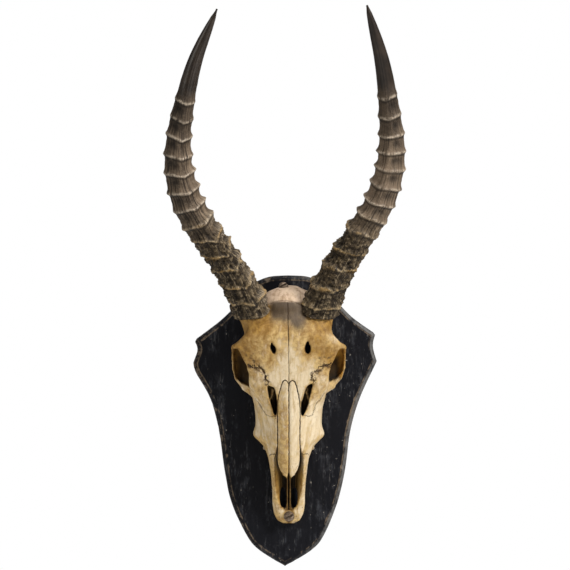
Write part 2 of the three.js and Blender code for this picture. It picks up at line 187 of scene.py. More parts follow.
def bar(path, soft=1.5):  # an oval bar: (across, out, up, half width, half depth) at each point
    def shape(u, d, z):
        total = None
        for start, end in zip(path[:-1], path[1:]):
            a, b = np.array(start[:3], float), np.array(end[:3], float)
            length = np.linalg.norm(b - a)
            along = (b - a) / length
            side = np.array([1.0, 0, 0]) - along[0] * along
            side /= np.linalg.norm(side)
            deep = np.cross(along, side)
            offset = [u - a[0], d - a[1], z - a[2]]
            run, p, q = (sum(o * v for o, v in zip(offset, axis)) for axis in (along, side, deep))
            t = np.clip(run / length, 0, 1)
            wide = start[3] + (end[3] - start[3]) * t
            tall = start[4] + (end[4] - start[4]) * t
            near = np.sqrt((p / wide) ** 2 + (q / tall) ** 2)
            rate = np.sqrt((p / wide**2) ** 2 + (q / tall**2) ** 2)
            gap = near * (near - 1) / np.maximum(rate, 1e-6)
            past = run - t * length
            made = np.where(past == 0, gap, np.sqrt(np.maximum(gap, 0) ** 2 + past**2))
            total = made if total is None else softMin(total, made, soft)
        return total

    return shape


def outlineGap(u, d, corners):  # signed distance to a closed outline
    near = np.full(np.broadcast(u, d).shape, 1e9, np.float32)
    inside = np.zeros(near.shape, bool)
    for (x0, y0), (x1, y1) in zip(corners, np.roll(corners, -1, axis=0)):
        dx, dy = x1 - x0, y1 - y0
        t = np.clip(((u - x0) * dx + (d - y0) * dy) / (dx * dx + dy * dy + 1e-9), 0, 1)
        near = np.minimum(near, (u - x0 - t * dx) ** 2 + (d - y0 - t * dy) ** 2)
        inside ^= ((y0 > d) != (y1 > d)) & (u < dx * (d - y0) / (dy + 1e-9 * (dy == 0)) + x0)
    return np.where(inside, -np.sqrt(near), np.sqrt(near))


def frontGap(u, z, corners):  # the same, for an outline seen from the front
    return outlineGap(u[:, 0, :], z[:, 0, :], corners)[:, None, :]


def tower(outlineAt, low, high):  # a solid with its own outline at each height
    def shape(u, d, z):
        layers = []
        for height in z.ravel():
            flat = outlineGap(u[:, :, 0], d[:, :, 0], outlineAt(min(max(height, low), high)))
            layers.append(np.maximum(flat, max(low - height, height - high)))
        return np.stack(layers, axis=2)

    return shape


def roundLoop(points, each=6):  # a smooth closed loop through points
    points = np.array(points, float)
    t = np.linspace(0, 1, each, endpoint=False)[None, :, None]
    return through(*(np.roll(points, k, axis=0)[:, None] for k in (1, 0, -1, -2)), t).reshape(-1, 2)


def ringQuads(rings, count):  # quads between rings of points, one ring after the other
    i = np.arange(count)
    j = (i + 1) % count
    return np.concatenate([np.stack([i, j, j + count, i + count], 1) + r * count for r in range(rings - 1)])


def capQuads(ring, middle, count):  # quads from a ring to its middle point
    i = np.arange(0, count, 2)
    return np.stack([np.full(len(i), middle), *(ring * count + (i + k) % count for k in range(3))], 1)


def addPiece(name, points, quads, marks=None):
    mesh = bpy.data.meshes.new(name)
    mesh.vertices.add(len(points))
    mesh.vertices.foreach_set("co", np.asarray(points, np.float32).ravel())
    quads = np.asarray(quads)
    mesh.loops.add(quads.size)
    mesh.loops.foreach_set("vertex_index", quads.ravel().astype(np.int32))
    mesh.polygons.add(len(quads))
    mesh.polygons.foreach_set("loop_start", np.arange(0, quads.size, quads.shape[1], dtype=np.int32))
    mesh.polygons.foreach_set("use_smooth", np.ones(len(quads), bool))
    for mark, values in (marks or {}).items():
        values = np.asarray(values, np.float32)
        flat = values.ndim == 1
        layer = mesh.attributes.new(mark, "FLOAT" if flat else "FLOAT_VECTOR", "POINT")
        layer.data.foreach_set("value" if flat else "vector", values.ravel())
    mesh.update(calc_edges=True)
    mesh.validate()
    piece = bpy.data.objects.new(name, mesh)
    bpy.context.scene.collection.objects.link(piece)
    return piece


def addSolid(name, points, quads, marks):  # turns the faces round where the surface is inside out
    a, b, c, d = (points[quads[:, k]] for k in range(4))
    volume = np.einsum("ij,ij->", a, np.cross(b, c)) + np.einsum("ij,ij->", a, np.cross(c, d))
    return addPiece(name, points, quads if volume > 0 else quads[:, ::-1], marks)


def settle(piece, node, material):
    piece.data.materials.append(material)
    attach(piece, "root")
    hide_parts(node)


class Wire:
    # one output of a node: sums and products of wires add Math nodes
    def __init__(self, tree, socket):
        self.tree, self.socket = tree, socket

    def maths(self, operation, first, second):
        return self.tree.node("ShaderNodeMath", dict(operation=operation), {0: first, 1: second})

    def __add__(self, other):
        return self.maths("ADD", self, other)

    def __radd__(self, other):
        return self.maths("ADD", other, self)

    def __sub__(self, other):
        return self.maths("SUBTRACT", self, other)

    def __rsub__(self, other):
        return self.maths("SUBTRACT", other, self)

    def __mul__(self, other):
        return self.maths("MULTIPLY", self, other)

    def __rmul__(self, other):
        return self.maths("MULTIPLY", other, self)

    def size(self):
        return self.maths("ABSOLUTE", self, 0.0)

    def most(self, other):
        return self.maths("MAXIMUM", self, other)


class Tree:
    # the nodes of a material or of the world
    def __init__(self, tree):
        self.tree = tree

    # any node: its type, its settings, then the values or wires of its sockets
    def node(self, kind, settings=None, sockets=None, out=0):
        made = self.tree.nodes.new(kind)
        for key, value in (settings or {}).items():
            setattr(made, key, value)
        for key, value in (sockets or {}).items():
            self.feed(made.inputs[key], value)
        return Wire(self, made.outputs[out])

    def feed(self, socket, value):
        if isinstance(value, Wire):
            self.tree.links.new(value.socket, socket)
        else:
            socket.default_value = value


class Finish(Tree):
    def __init__(self, name, **constants):
        self.material = bpy.data.materials.new(name)
        self.material.use_nodes = True
        super().__init__(self.material.node_tree)
        self.shader = self.tree.nodes["Principled BSDF"]
        for socket, value in constants.items():
            self.shader.inputs[socket.replace("_", " ")].default_value = value

    def marks(self, *names, out="Fac"):  # what a piece's points carry
        return [self.node("ShaderNodeAttribute", dict(attribute_name=name), out=out) for name in names]

    def spot(self):
        return self.node("ShaderNodeTexCoord", out="Object")

    def noise(self, vector, scale, detail=3.0, rough=0.55, distort=0.0, squeeze=None):
        if squeeze:  # below 1 draws the pattern out along that axis
            vector = self.node("ShaderNodeVectorMath", dict(operation="MULTIPLY"), {0: vector, 1: squeeze})
        sockets = dict(Vector=vector, Scale=scale, Detail=detail, Roughness=rough, Distortion=distort)
        return self.node("ShaderNodeTexNoise", None, sockets, "Fac")

    def ramp(self, wire, low, high):  # 0 below low, 1 above high
        settings = dict(interpolation_type="SMOOTHSTEP")
        return self.node("ShaderNodeMapRange", settings, {"Value": wire, "From Min": low, "From Max": high})

    def mix(self, share, first, second):
        first, second = (c if isinstance(c, Wire) else (*c, 1) for c in (first, second))
        settings = dict(data_type="RGBA", clamp_factor=True)
        return self.node("ShaderNodeMix", settings, {0: share, 6: first, 7: second}, 2)

    def layers(self, colour, *coats):  # each coat is its share and its colour
        for share, coat in coats:
            colour = self.mix(share, colour, coat)
        return colour

    def bump(self, height, distance, strength):
        sockets = dict(Height=height, Distance=distance, Strength=strength)
        self.feed(self.shader.inputs["Normal"], self.node("ShaderNodeBump", None, sockets, "Normal"))

    def close(self, colour, rough):
        self.feed(self.shader.inputs["Base Color"], colour)
        self.feed(self.shader.inputs["Roughness"], rough)
        return self.material


stage = dict(
    eye=(0.0, -2.218, 0.1186), frameWidth=0.497, distance=2.2,
    aim=(0, -0.07, 0.1), floorMiddle=(0, -0.07, -0.45), floorRadius=1.6, floorPoints=96,
    backdrop=1.0, ambient=0.17,
    lamps=[
        dict(name="key", at=(1.5, -1.3, 1.05), size=0.6, power=46, tint=(1, 0.98, 0.95)),
        dict(name="fill", at=(-1.9, -1.0, 0.5), size=1.2, power=10.5, tint=(1, 0.96, 0.88)),
        dict(name="top", at=(0.25, -0.35, 1.9), size=0.9, power=22, tint=(1, 1, 1)),
    ],
)


def setStage():
    scene = bpy.context.scene
    scene.view_settings.view_transform = "Standard"
    lens = bpy.data.cameras.new("camera")
    lens.angle = 2 * math.atan(stage["frameWidth"] / 2 / stage["distance"])
    camera = bpy.data.objects.new("camera", lens)
    camera.location = stage["eye"]
    camera.rotation_euler = (math.pi / 2, 0, 0)
    scene.collection.objects.link(camera)
    scene.camera = camera
    for lamp in stage["lamps"]:
        light = bpy.data.lights.new(lamp["name"], "AREA")
        light.shape = "DISK"
        light.size, light.energy, light.color = lamp["size"], lamp["power"], lamp["tint"]
        holder = bpy.data.objects.new(lamp["name"], light)
        holder.location = lamp["at"]
        aim = Vector(stage["aim"]) - holder.location
        holder.rotation_euler = aim.to_track_quat("-Z", "Y").to_euler()
        scene.collection.objects.link(holder)
    world = bpy.data.worlds.new("studio")
    scene.world = world
    world.use_nodes = True
    studio = Tree(world.node_tree)
    seen = studio.node("ShaderNodeLightPath", out="Is Camera Ray")
    levels = {"Value": seen, "To Min": stage["ambient"], "To Max": stage["backdrop"]}
    sky = world.node_tree.nodes["Background"]
    studio.feed(sky.inputs["Strength"], studio.node("ShaderNodeMapRange", None, levels))
    studio.feed(sky.inputs["Color"], (1, 1, 1, 1))
    count = stage["floorPoints"]
    angles = np.linspace(0, 2 * math.pi, count, endpoint=False)
    rim = np.stack([np.cos(angles), np.sin(angles), 0 * angles], 1) * stage["floorRadius"]
    floor = addPiece("floor", np.vstack([rim, [0, 0, 0]]) + stage["floorMiddle"], capQuads(0, count, count))
    pale = Finish("paleFloor")
    speckle = pale.noise(pale.spot(), 6, 4)
    floor.data.materials.append(pale.close(pale.mix(speckle, (0.86, 0.86, 0.85), (0.9, 0.9, 0.89)), 0.9))


setStage()
print("stage set")


shield = dict(
    thickness=place["shieldFace"], roundWidth=4.2, roundDepth=5.0, rings=46, loopPoints=640, centre=(0, 15),
    chipSize=5.0, chipFrom=0.45, chipDepth=1.1, waviness=0.35, grainDepth=0.12, warp=0.25,
    turns=[0, 8, 10, 11, 14, 16, 18, 21, 22, 24, 32],  # corners where the saw turned
    rightSide=[
        (0, -127), (23.8, -112.5), (34.7, -98.5), (46, -70.5), (52.5, -42.5), (57.2, -8), (65.4, 20),
        (77.4, 46), (80.2, 52), (76.8, 65), (78.6, 75), (77, 77.3), (59.3, 90), (46, 103.5), (32, 121),
        (19, 126), (2.5, 127),
    ],
    leftSide=[
        (2.5, 127), (-14, 125.8), (-27, 120.8), (-43, 101), (-57, 87), (-77.2, 71.8), (-78.6, 69),
        (-76.6, 62), (-80.2, 50.5), (-77.6, 41.5), (-65.5, 20), (-57.8, -8), (-52.9, -42.5), (-47, -70.5),
        (-34.3, -98.5), (-23.2, -112.5), (0, -127),
    ],
)


def shieldLoop():
    line = np.array(shield["rightSide"] + shield["leftSide"][1:], float)
    runs = []
    for a, b in zip(shield["turns"][:-1], shield["turns"][1:]):
        knots = line[a : b + 1]
        t = np.linspace(0, len(knots) - 1, 60, endpoint=False)
        runs.append(np.stack([flow(list(enumerate(values)), t) for values in knots.T], 1))
    closed = np.concatenate([*runs, runs[0][:1]])
    gone = lengthsOf(closed)
    return alongLine(np.linspace(0, gone[-1], shield["loopPoints"], endpoint=False), gone, closed)


def makeShield():
    loop = shieldLoop()
    count = len(loop)
    tangent = np.roll(loop, -2, axis=0) - np.roll(loop, 2, axis=0)
    inward = np.stack([-tangent[:, 1], tangent[:, 0]], 1)
    inward /= np.linalg.norm(inward, axis=1, keepdims=True)
    deep, wide, high = shield["thickness"], shield["roundWidth"], shield["roundDepth"]
    # back to front: (distance in from the outline, distance out from the wall)
    profile = [(1.2, 0), (0.3, 0.3), (0, 1.2)] + [(0, y) for y in np.linspace(2.5, deep - high, 9)]
    for a in np.linspace(0.15, 1.5, 11):
        profile.append((wide * (1 - math.cos(a)) * 0.9, deep - high + high * math.sin(a)))
    profile.append((wide, deep))
    rings, edge, insets = [], [], []
    for inset, out in profile:
        rings.append(np.column_stack([loop + inward * inset, np.full(count, out)]))
        edge.append(np.full(count, 0.55 if out < deep - 4 else 1.0))
        insets.append(np.full(count, inset))
    inner = loop + inward * wide
    middle = np.array(shield["centre"], float)
    farIn = 12.0
    for share in np.concatenate([np.linspace(0.985, 0.9, 6), np.linspace(0.87, 0.02, shield["rings"])]):
        rings.append(np.column_stack([middle + (inner - middle) * share, np.full(count, deep)]))
        gap = np.linalg.norm((inner - middle) * (1 - share), axis=1)
        edge.append(np.exp(-gap / 1.6) * 0.7)
        insets.append(np.minimum(wide + gap, farIn))
    points, edge = np.concatenate(rings), np.concatenate(edge)
    spots = points[:, [0, 2, 1]]
    # dents and chips along the sawn edge, and a board that isn't quite flat
    front = fade(points[:, 2], 4, deep - high)
    sawn = fade(edge, 0.3, 0.9)
    chip = np.maximum(0, lumps(spots, shield["chipSize"], 3.1) - shield["chipFrom"]) * 2.2 * sawn * front
    pull = points[:, :2] - middle
    pull /= np.maximum(np.linalg.norm(pull, axis=1, keepdims=True), 1e-6)
    wave = shield["waviness"] * lumps(spots, 9.0) * sawn
    points[:, :2] -= pull * (chip * shield["chipDepth"] + wave)[:, None]
    relief = shield["grainDepth"] * lumps(spots * [1, 1, 0.06], 2.2, 5.0)
    relief += shield["warp"] * lumps(spots, 30, 1.7)
    points[:, 2] += front * (relief - 0.5 * chip) - shield["warp"] * front
    # the back and the middle of the face are closed by fans
    last, backMiddle = len(rings) - 1, len(points)
    points = np.vstack([points, [*middle, 0], [*middle, points[-1, 2]]])
    back = capQuads(0, backMiddle, count)[:, [0, 3, 2, 1]]
    face = capQuads(last, backMiddle + 1, count)
    marks = dict(edge=np.append(edge, [0, 0]), chip=np.append(chip, [0, 0]),
                 inset=np.append(np.concatenate(insets), [profile[0][0], farIn]))
    quads = np.concatenate([ringQuads(len(rings), count), back, face])
    return addSolid("blackShield", points[:, [0, 2, 1]] * [mm, -mm, mm], quads, marks)


def paintFinish():
    f = Finish("wornBlackPaint", Specular_IOR_Level=0.16)
    spot = f.spot()
    edge, inset, chip = f.marks("edge", "inset", "chip")
    across = f.node("ShaderNodeSeparateXYZ", None, {0: spot}, "X")
    streak = f.noise(spot, 420, 4, 0.62, squeeze=(1, 1, 0.1))
    pores = f.noise(spot, 900, 2, 0.5, squeeze=(1, 1, 0.05))
    patch = f.noise(spot, 70, 4, 0.65, squeeze=(1, 1, 0.4))
    nicks = f.noise(spot, 820, 2, 0.5, squeeze=(1, 1, 0.16))
    blot = f.noise(spot, 260, 3, 0.65, squeeze=(1, 1, 0.6))
    cloud = f.noise(spot, 22, 4, 0.6)
    grit = f.noise(spot, 520, 3, 0.7)
    scuff = f.ramp(streak * 0.3 + patch * 0.5 + blot * 0.4, 0.6, 0.8)
    scratch = f.ramp(nicks, 0.6, 0.68) * f.ramp(patch, 0.47, 0.62)
    speck = f.ramp(f.noise(spot, 380, 2, 0.5), 0.69, 0.75) * f.ramp(patch, 0.44, 0.6)
    worn = f.ramp(edge * 0.5 + grit * 0.5 + cloud * 0.35 + chip * 0.3 + blot * 0.2, 1.02, 1.16)
    bare = f.mix(f.noise(spot, 160, 3), (0.07, 0.042, 0.024), (0.24, 0.19, 0.14))
    # a painted highlight on the rounded edge toward the key light, and paint rubbed off along its inner line
    rounded = f.ramp(edge, 0.6, 0.95) * (1 - f.ramp(inset, 2.4, 3.4))
    paintedLitEdge = rounded * f.ramp(across, 0.0, 0.045) * f.ramp(blot + patch * 0.5, 0.42, 0.9)
    innerLine = f.ramp(inset, 2.9, 3.6) * (1 - f.ramp(inset, 3.9, 4.7))
    rubbed = innerLine * f.ramp(blot * 0.6 + cloud * 0.6, 0.5, 0.68)
    colour = f.layers(
        f.mix(scuff * 0.55, (0.0035, 0.0038, 0.0065), (0.062, 0.065, 0.076)),
        (scratch * 0.6, (0.085, 0.084, 0.085)), (f.ramp(pores, 0.6, 0.72) * 0.6, (0.002, 0.002, 0.003)),
        (speck * 0.8, (0.34, 0.31, 0.27)), (worn * 0.75, bare), (paintedLitEdge * 0.8, (0.145, 0.141, 0.135)),
        (rubbed * 0.6, (0.2, 0.15, 0.1)))
    f.bump(streak * 0.55 + pores * 0.35 + grit * 0.2 + blot * 0.2, 0.0007, 0.6)
    return f.close(colour, 0.5 + streak * 0.22 + worn * 0.15)


settle(makeShield(), "shield", paintFinish())
print("shield done")


horns = dict(
    stations=470, around=190, socketDepth=12.0, socketWall=2.6, sag=4.5, sagTurn=-1.25, stump=(14.6, 19.0),
    pitch=16.0, dipWidth=0.7, dishDepth=0.7, lobeWidth=0.55, ribs=13, ribRise=0.36, gnarled=(60, 108),
    flatness=1.75,
    halfWidth=[(0, 14.8), (20, 13.8), (60, 13.4), (90, 13.6), (120, 13.0), (148, 11.7), (175, 9.8),
               (203, 7.8), (231, 6.1), (250, 4.7), (262, 3.5), (272, 2.2), (279, 0.8)],
    depthRatio=[(0, 1.3), (90, 1.25), (200, 1.08), (280, 1.0)],
    ringRise=[(0, 1.0), (25, 1.5), (60, 1.8), (90, 2.1), (135, 1.9), (168, 1.5), (184, 1.1), (200, 0.8),
              (208, 0.3), (217, 0), (280, 0)],
    lobeRise=[(0, 1.4), (25, 2.6), (70, 2.6), (110, 1.8), (180, 0.8), (210, 0), (280, 0)],
    # ring places along the horn, how deep each dips at the keel, and the way the keel faces
    left=dict(
        side=-1, seed=0.0, paintedLightLift=0.0, pinch=0.0, blunt=0.12, fans=1.0, fanTurn=-1.1,
        rings=[1, 17, 33, 50, 65.5, 78.5, 92.5, 107, 121.5, 137, 151.5, 168, 183, 198],
        dips=[(0, 3), (40, 9), (60, 9), (80, 6.5), (95, 4), (120, 3.6), (165, 4.2), (185, 2.6), (200, 2)],
        keelTurn=[(0, -0.3), (280, -0.3)],
        path=[(-32, 56, 98), (-41, 65, 118), (-49.5, 71, 133), (-68.5, 80, 160), (-84, 86, 186.5),
              (-91.5, 91.5, 214), (-91.8, 96.5, 241), (-85.7, 106, 274), (-77.2, 117.5, 304),
              (-58.8, 136, 344.5)]),
    right=dict(
        side=1, seed=4.7, paintedLightLift=0.4, pinch=1.8, blunt=0.5, fans=0.35, fanTurn=-1.25,
        rings=[-3, 13, 30, 48, 64.5, 80, 96, 110, 124, 138.7, 152.5, 167.5, 183.5, 200.5],
        dips=[(0, 4), (40, 8), (60, 8), (80, 4.5), (110, 4), (125, 2.6), (150, 2), (185, 2.2), (200, 2)],
        keelTurn=[(0, -1.0), (60, -0.9), (95, -0.5), (130, -0.36), (280, -0.36)],
        path=[(27, 56, 98), (34.8, 65, 118), (42, 71, 133), (58.5, 80, 160), (74.5, 86, 186.5),
              (84, 91.5, 214), (85.6, 96.5, 241), (82, 106, 274), (76.7, 117.5, 304), (63.8, 137, 347.5)]),
)


def hornLine(path):  # the middle of a horn in small steps: points and running lengths
    knots = np.array(path, float)
    turn = lengthsOf(knots, 0.5)
    x = np.linspace(0, turn[-1], 1500)[:, None]
    padded = np.vstack([2 * knots[0] - knots[1], knots, 2 * knots[-1] - knots[-2]])
    times = np.concatenate([[-turn[1]], turn, [2 * turn[-1] - turn[-2]]])
    i = np.clip(np.searchsorted(turn, x[:, 0], side="right") - 1, 0, len(knots) - 2)
    p = [padded[i + k] for k in range(4)]
    c = [times[i + k][:, None] for k in range(4)]

    def between(a, b, ta, tb):
        return (tb - x) / (tb - ta) * a + (x - ta) / (tb - ta) * b

    a1, a2, a3 = (between(p[k], p[k + 1], c[k], c[k + 1]) for k in range(3))
    b1, b2 = between(a1, a2, c[0], c[2]), between(a2, a3, c[1], c[3])
    line = between(b1, b2, c[1], c[2])
    return line, lengthsOf(line)


def hornFrame(spec, along):  # places on the middle line, three directions at each, and the length
    line, gone = hornLine(spec["path"])
    end, step = gone[-1], 2.0
    behind = alongLine(np.clip(np.minimum(along, end - step) - step, 0, end), gone, line)
    ahead = alongLine(np.clip(np.maximum(along, 0) + step, 0, end), gone, line)
    forward = (ahead - behind) / np.linalg.norm(ahead - behind, axis=1, keepdims=True)
    front = np.array([0, 1.0, 0]) - forward[:, 1:2] * forward
    front /= np.linalg.norm(front, axis=1, keepdims=True)
    outer = np.array([1.0, 0, 0]) - forward[:, :1] * forward
    outer -= np.sum(outer * front, axis=1, keepdims=True) * front
    outer *= spec["side"] / np.linalg.norm(outer, axis=1, keepdims=True)
    where = alongLine(along, gone, line) + forward * np.minimum(along, 0)[:, None]
    return where, forward, front, outer, end


def hornPoints(spec, along, deep, wide, angle):  # points round the middle line
    where, _, front, outer, _ = hornFrame(spec, np.ravel(along))
    frontward, outward = (np.reshape(v, (-1, 1)) for v in (deep * np.cos(angle), wide * np.sin(angle)))
    return where + front * frontward + outer * outward


def hornSpots(angle, along):  # an even cylinder that the horn's patterns are drawn on
    return np.stack([12 * np.cos(angle), 12 * np.sin(angle), along], -1).reshape(-1, 3)


def hornSag(angle):  # the sheath reaches lower on the inner front of its base
    return horns["sag"] * np.clip(np.cos(angle - horns["sagTurn"]), 0, 1) ** 0.8


def wrapped(angle):  # between -pi and pi
    return np.angle(np.exp(1j * angle))


def hornSurface(spec, along, angle):
    # how far the surface stands from the middle at each place, and how it is marked
    facing, outward = np.cos(angle), np.sin(angle)
    wide = flow(horns["halfWidth"], along)
    spots = hornSpots(angle, along)

    def rough(size, shift, squeeze=1.0):
        return lumps(spots * [1, 1, squeeze], size, shift + spec["seed"]).reshape(angle.shape)

    low = 1 - fade(along, *horns["gnarled"])
    turn = flow(spec["keelTurn"], along)
    keel = np.abs(wrapped(angle - turn))
    inner, outer = np.clip(-outward, 0, 1), np.clip(outward, 0, 1)
    fromKeel = np.hypot(keel, spec["blunt"]) - spec["blunt"]
    dip = flow(spec["dips"], along) * np.exp(-(fromKeel / horns["dipWidth"]))
    wander = (0.9 * rough(16, 1.3) + 0.6 * rough(6, 7.7)) * (0.5 + 2.3 * low)
    wander += 0.4 * rough(3, 4.9) * (0.3 + 2.4 * low)
    rings, pitch = np.array(spec["rings"], float), horns["pitch"]
    below, above = pitch * np.arange(2, 0, -1), pitch * np.arange(1, 7)
    places = np.concatenate([rings[0] - below, rings, rings[-1] + above])
    phase = np.interp(along + dip + wander, places, np.arange(len(places)))
    part = phase - np.floor(phase)
    last = len(rings) + 1
    ringed = 1 - fade(phase, last + 0.05, last + 0.85)
    # each crest is round, steeper below than above, with a hollow band between
    ring = np.maximum(np.exp(-((part / 0.18) ** 1.5)), np.exp(-(((1 - part) / 0.11) ** 1.8)))
    height = flow(horns["ringRise"], along) * (1 + 0.35 * inner - (0.15 + 0.35 * low) * outer)
    broken = 1 + 0.35 * rough(11, 9.1) + 0.6 * low * rough(6, 2.2)
    rise = height * broken * (1.1 * ring - 0.34)
    # the outer front is dished between the rings
    dish = bell(angle - turn, 0.75, 0.5) * bell(part, 0.6, 0.26) * (1 - 0.6 * low)
    rise -= horns["dishDepth"] * dish * ringed
    # on the inner front each ring swells into a ribbed lobe
    lobe = spec["fans"] * bell(wrapped(angle - spec["fanTurn"]), 0, horns["lobeWidth"]) * ringed
    swell = (0.5 + 0.5 * np.cos(2 * np.pi * (part - 0.9))) ** 1.2
    rise = rise * (1 - 0.6 * lobe) + flow(horns["lobeRise"], along) * lobe * (swell - 0.35)
    rib = np.cos(2 * np.pi * (angle * horns["ribs"] + 2.2 * (part - 0.5) + 0.7 * rough(9, 3.7)) / 1.5)
    fan = lobe * (0.3 + 0.7 * swell) * (1 - fade(along, 75, 130))
    rise += horns["ribRise"] * fan * rib
    # flakes and cracks, coarse toward the base
    bark = 0.4 * rough(3.4, 6.1, 1.7) + 0.6 * rough(1.9, 2.6, 1.2)
    bark += 0.9 * (0.35 - np.abs(rough(7.5, 4.4, 1.5)))
    bark -= 2.5 * np.clip(0.2 - np.abs(rough(5.2, 8.3, 1.6)), 0, 1)
    fine = 0.16 * rough(3.0, 5.5, 0.4) + 0.12 * rough(1.8, 3.3, 0.7)
    rise += ringed * (fine + bark * (0.14 + low * 1.75))
    rise += 2.8 * inner * (1 - fade(along, 6, 32)) + 1.3 * outer * (1 - fade(along, 18, 64))
    rise -= spec["pinch"] * inner * bell(along, 82, 30)
    deep = wide * flow(horns["depthRatio"], along)
    # flat faces between a blunt keel and the sides
    power = horns["flatness"]
    square = np.abs(facing) ** power + np.abs(outward) ** power
    shape = 1 + (square ** (-1 / power) - 1) * 0.5 * (1 - fade(along, 200, 240))
    ridgeLine = 1 + 0.04 * bell(keel, 0, 0.3) * ringed
    # the finish paints a highlight along these crests
    crest = np.maximum(bell(part, 0, 0.07 + 0.015 * low), bell(1 - part, 0, 0.06))
    shadow = bell(part, 0.86, 0.085) * (0.75 + 0.25 * outer)
    # painted light: inner faces lighter, the right horn lighter, and a light-to-dark swing across each band
    light = 0.35 + spec["paintedLightLift"] + 0.5 * inner + 0.15 * np.sin(2 * np.pi * (part + 0.15))
    return wide * shape, deep * shape * ridgeLine, rise, dict(
        shadow=np.maximum(shadow, 0.8 * dish) * ringed, crest=crest * ringed * np.clip(broken, 0.15, 1),
        low=low, high=fade(along, 140, 190), smooth=1 - ringed, gully=np.clip(-bark * low * 1.3, 0, 1),
        fan=fan, rib=0.5 + 0.5 * rib, light=np.clip(light, 0, 1))


def makeHorn(name):
    spec = horns[name]
    length = hornFrame(spec, np.zeros(1))[4]
    count = horns["around"]
    along = np.concatenate([[0.0, 0.4], np.linspace(1.0, length - 0.2, horns["stations"])])
    angle = np.broadcast_to(np.linspace(0, 2 * np.pi, count, endpoint=False), (len(along), count))
    run = np.broadcast_to(along[:, None], angle.shape)
    wide, deep, rise, marks = hornSurface(spec, run, angle)
    rise = np.where(run < 1.0, rise * run - (1 - run) * 0.5, rise)
    spots = hornSpots(angle, run)
    ragged = 1.2 * lumps(spots * [1, 1, 0], 5.0, 1.9).reshape(run.shape)
    lowered = run - (hornSag(angle) + ragged) * (1 - fade(run, 0, 34))
    # the short socket that sits on the bone, then the outside
    rings = []
    for step in (3, 2, 1, 0):
        at, inset = horns["socketDepth"] * step / 3, horns["socketWall"] + step
        half = flow(horns["halfWidth"], at)
        halfDeep = half * flow(horns["depthRatio"], at)
        rings.append(hornPoints(spec, [at], halfDeep - inset, half - inset, angle[0]))
    lead, total = len(rings) * count, len(rings) + len(along)
    points = np.concatenate([*rings, hornPoints(spec, lowered, deep + rise, wide + rise, angle)])
    for mark, values in marks.items():
        marks[mark] = np.concatenate([np.full(lead, float(mark == "shadow")), np.ravel(values)])
    marks["around"] = np.concatenate([np.zeros((lead, 3)), spots * mm])
    quads = [ringQuads(total, count)]
    for ring, turn in ((0, -1), (total - 1, 1)):
        first = ring * count
        quads.append(capQuads(ring, len(points), count)[:, ::turn])
        points = np.vstack([points, points[first : first + count].mean(axis=0)])
        marks = {mark: np.concatenate([v, v[first : first + 1]]) for mark, v in marks.items()}
    return addSolid(name + "Horn", toWorld(points), np.concatenate(quads), marks)


def hornFinish():
    f = Finish("ringedHorn", Specular_IOR_Level=0.2, Coat_Roughness=0.24)
    spot = f.spot()
    (grain,) = f.marks("around", out="Vector")
    shadow, crest, low, high, smooth, gully, fan, rib, light = f.marks(
        "shadow", "crest", "low", "high", "smooth", "gully", "fan", "rib", "light")
    fibre = f.noise(grain, 560, 3, 0.6, squeeze=(1, 1, 0.04))
    fibreFine = f.noise(grain, 1250, 2, 0.5, squeeze=(1, 1, 0.03))
    cloud = f.noise(spot, 60, 4, 0.6)
    grit = f.noise(spot, 620, 4, 0.7)
    lump = f.noise(spot, 300, 3, 0.6)
    # the stripes carry the painted light of the light mark
    stripe = f.ramp(fibre * 0.6 + fibreFine * 0.4 + (light - 0.5) * 0.16, 0.38, 0.64)
    taupe = f.layers(
        f.mix(stripe, (0.018, 0.0115, 0.007), (0.22, 0.16, 0.108)),
        (f.ramp(cloud, 0.42, 0.68) * 0.5, (0.05, 0.033, 0.02)),
        (f.ramp(lump, 0.5, 0.7) * 0.3, (0.28, 0.215, 0.15)), (high * 0.6, (0.026, 0.018, 0.0125)))
    earthy = f.layers(
        f.mix(f.ramp(lump * 0.6 + fibre * 0.4, 0.42, 0.64), (0.017, 0.011, 0.005), (0.125, 0.087, 0.042)),
        (f.ramp(fibreFine * 0.5 + lump * 0.5, 0.53, 0.62) * 0.7, (0.4, 0.31, 0.195)),
        (0.16, (0.012, 0.008, 0.004)))
    ribbed = f.mix(f.ramp(rib, 0.2, 0.75), (0.016, 0.01, 0.0055), (0.38, 0.3, 0.21))
    # painted highlight for the ring crests, pale tan high up and golden low down
    pale = f.mix(low, (0.52, 0.43, 0.33), (0.42, 0.31, 0.17))
    amber = f.ramp(crest + shadow * 0.55, 0.3, 0.85) * f.ramp(cloud + lump * 0.35, 0.6, 0.78)
    tip = f.mix(f.ramp(cloud * 0.6 + fibre * 0.4, 0.35, 0.65), (0.009, 0.0055, 0.0036), (0.034, 0.022, 0.014))
    colour = f.layers(
        taupe, (low * 0.9, earthy), (f.ramp(fan, 0.15, 0.7) * 0.8, ribbed),
        # painted shadow under the crests and in the socket, and painted shade in the cracks near the base
        ((shadow * 0.92).most(gully * 0.65), (0.008, 0.005, 0.003)),
        (crest * f.ramp(lump * 0.6 + fibreFine * 0.4, 0.4, 0.58) * 0.9, pale),
        (amber * f.ramp(low, 0.05, 0.6) * 0.65, (0.27, 0.155, 0.04)), (smooth, tip))
    rough = 1 - smooth
    f.bump((fibre * 0.6 + fibreFine * 0.4 + lump * 1.1 + grit * 0.35) * (rough * 0.9 + 0.1), 0.0018, 0.8)
    f.feed(f.shader.inputs["Coat Weight"], smooth * f.ramp(fibre, 0.3, 0.6) * 0.55 + crest * 0.25)
    return f.close(colour, 0.5 + grit * 0.2 * rough)


hornMaterial = hornFinish()
for name in ("left", "right"):
    settle(makeHorn(name), name + "_horn", hornMaterial)
print("horns done")


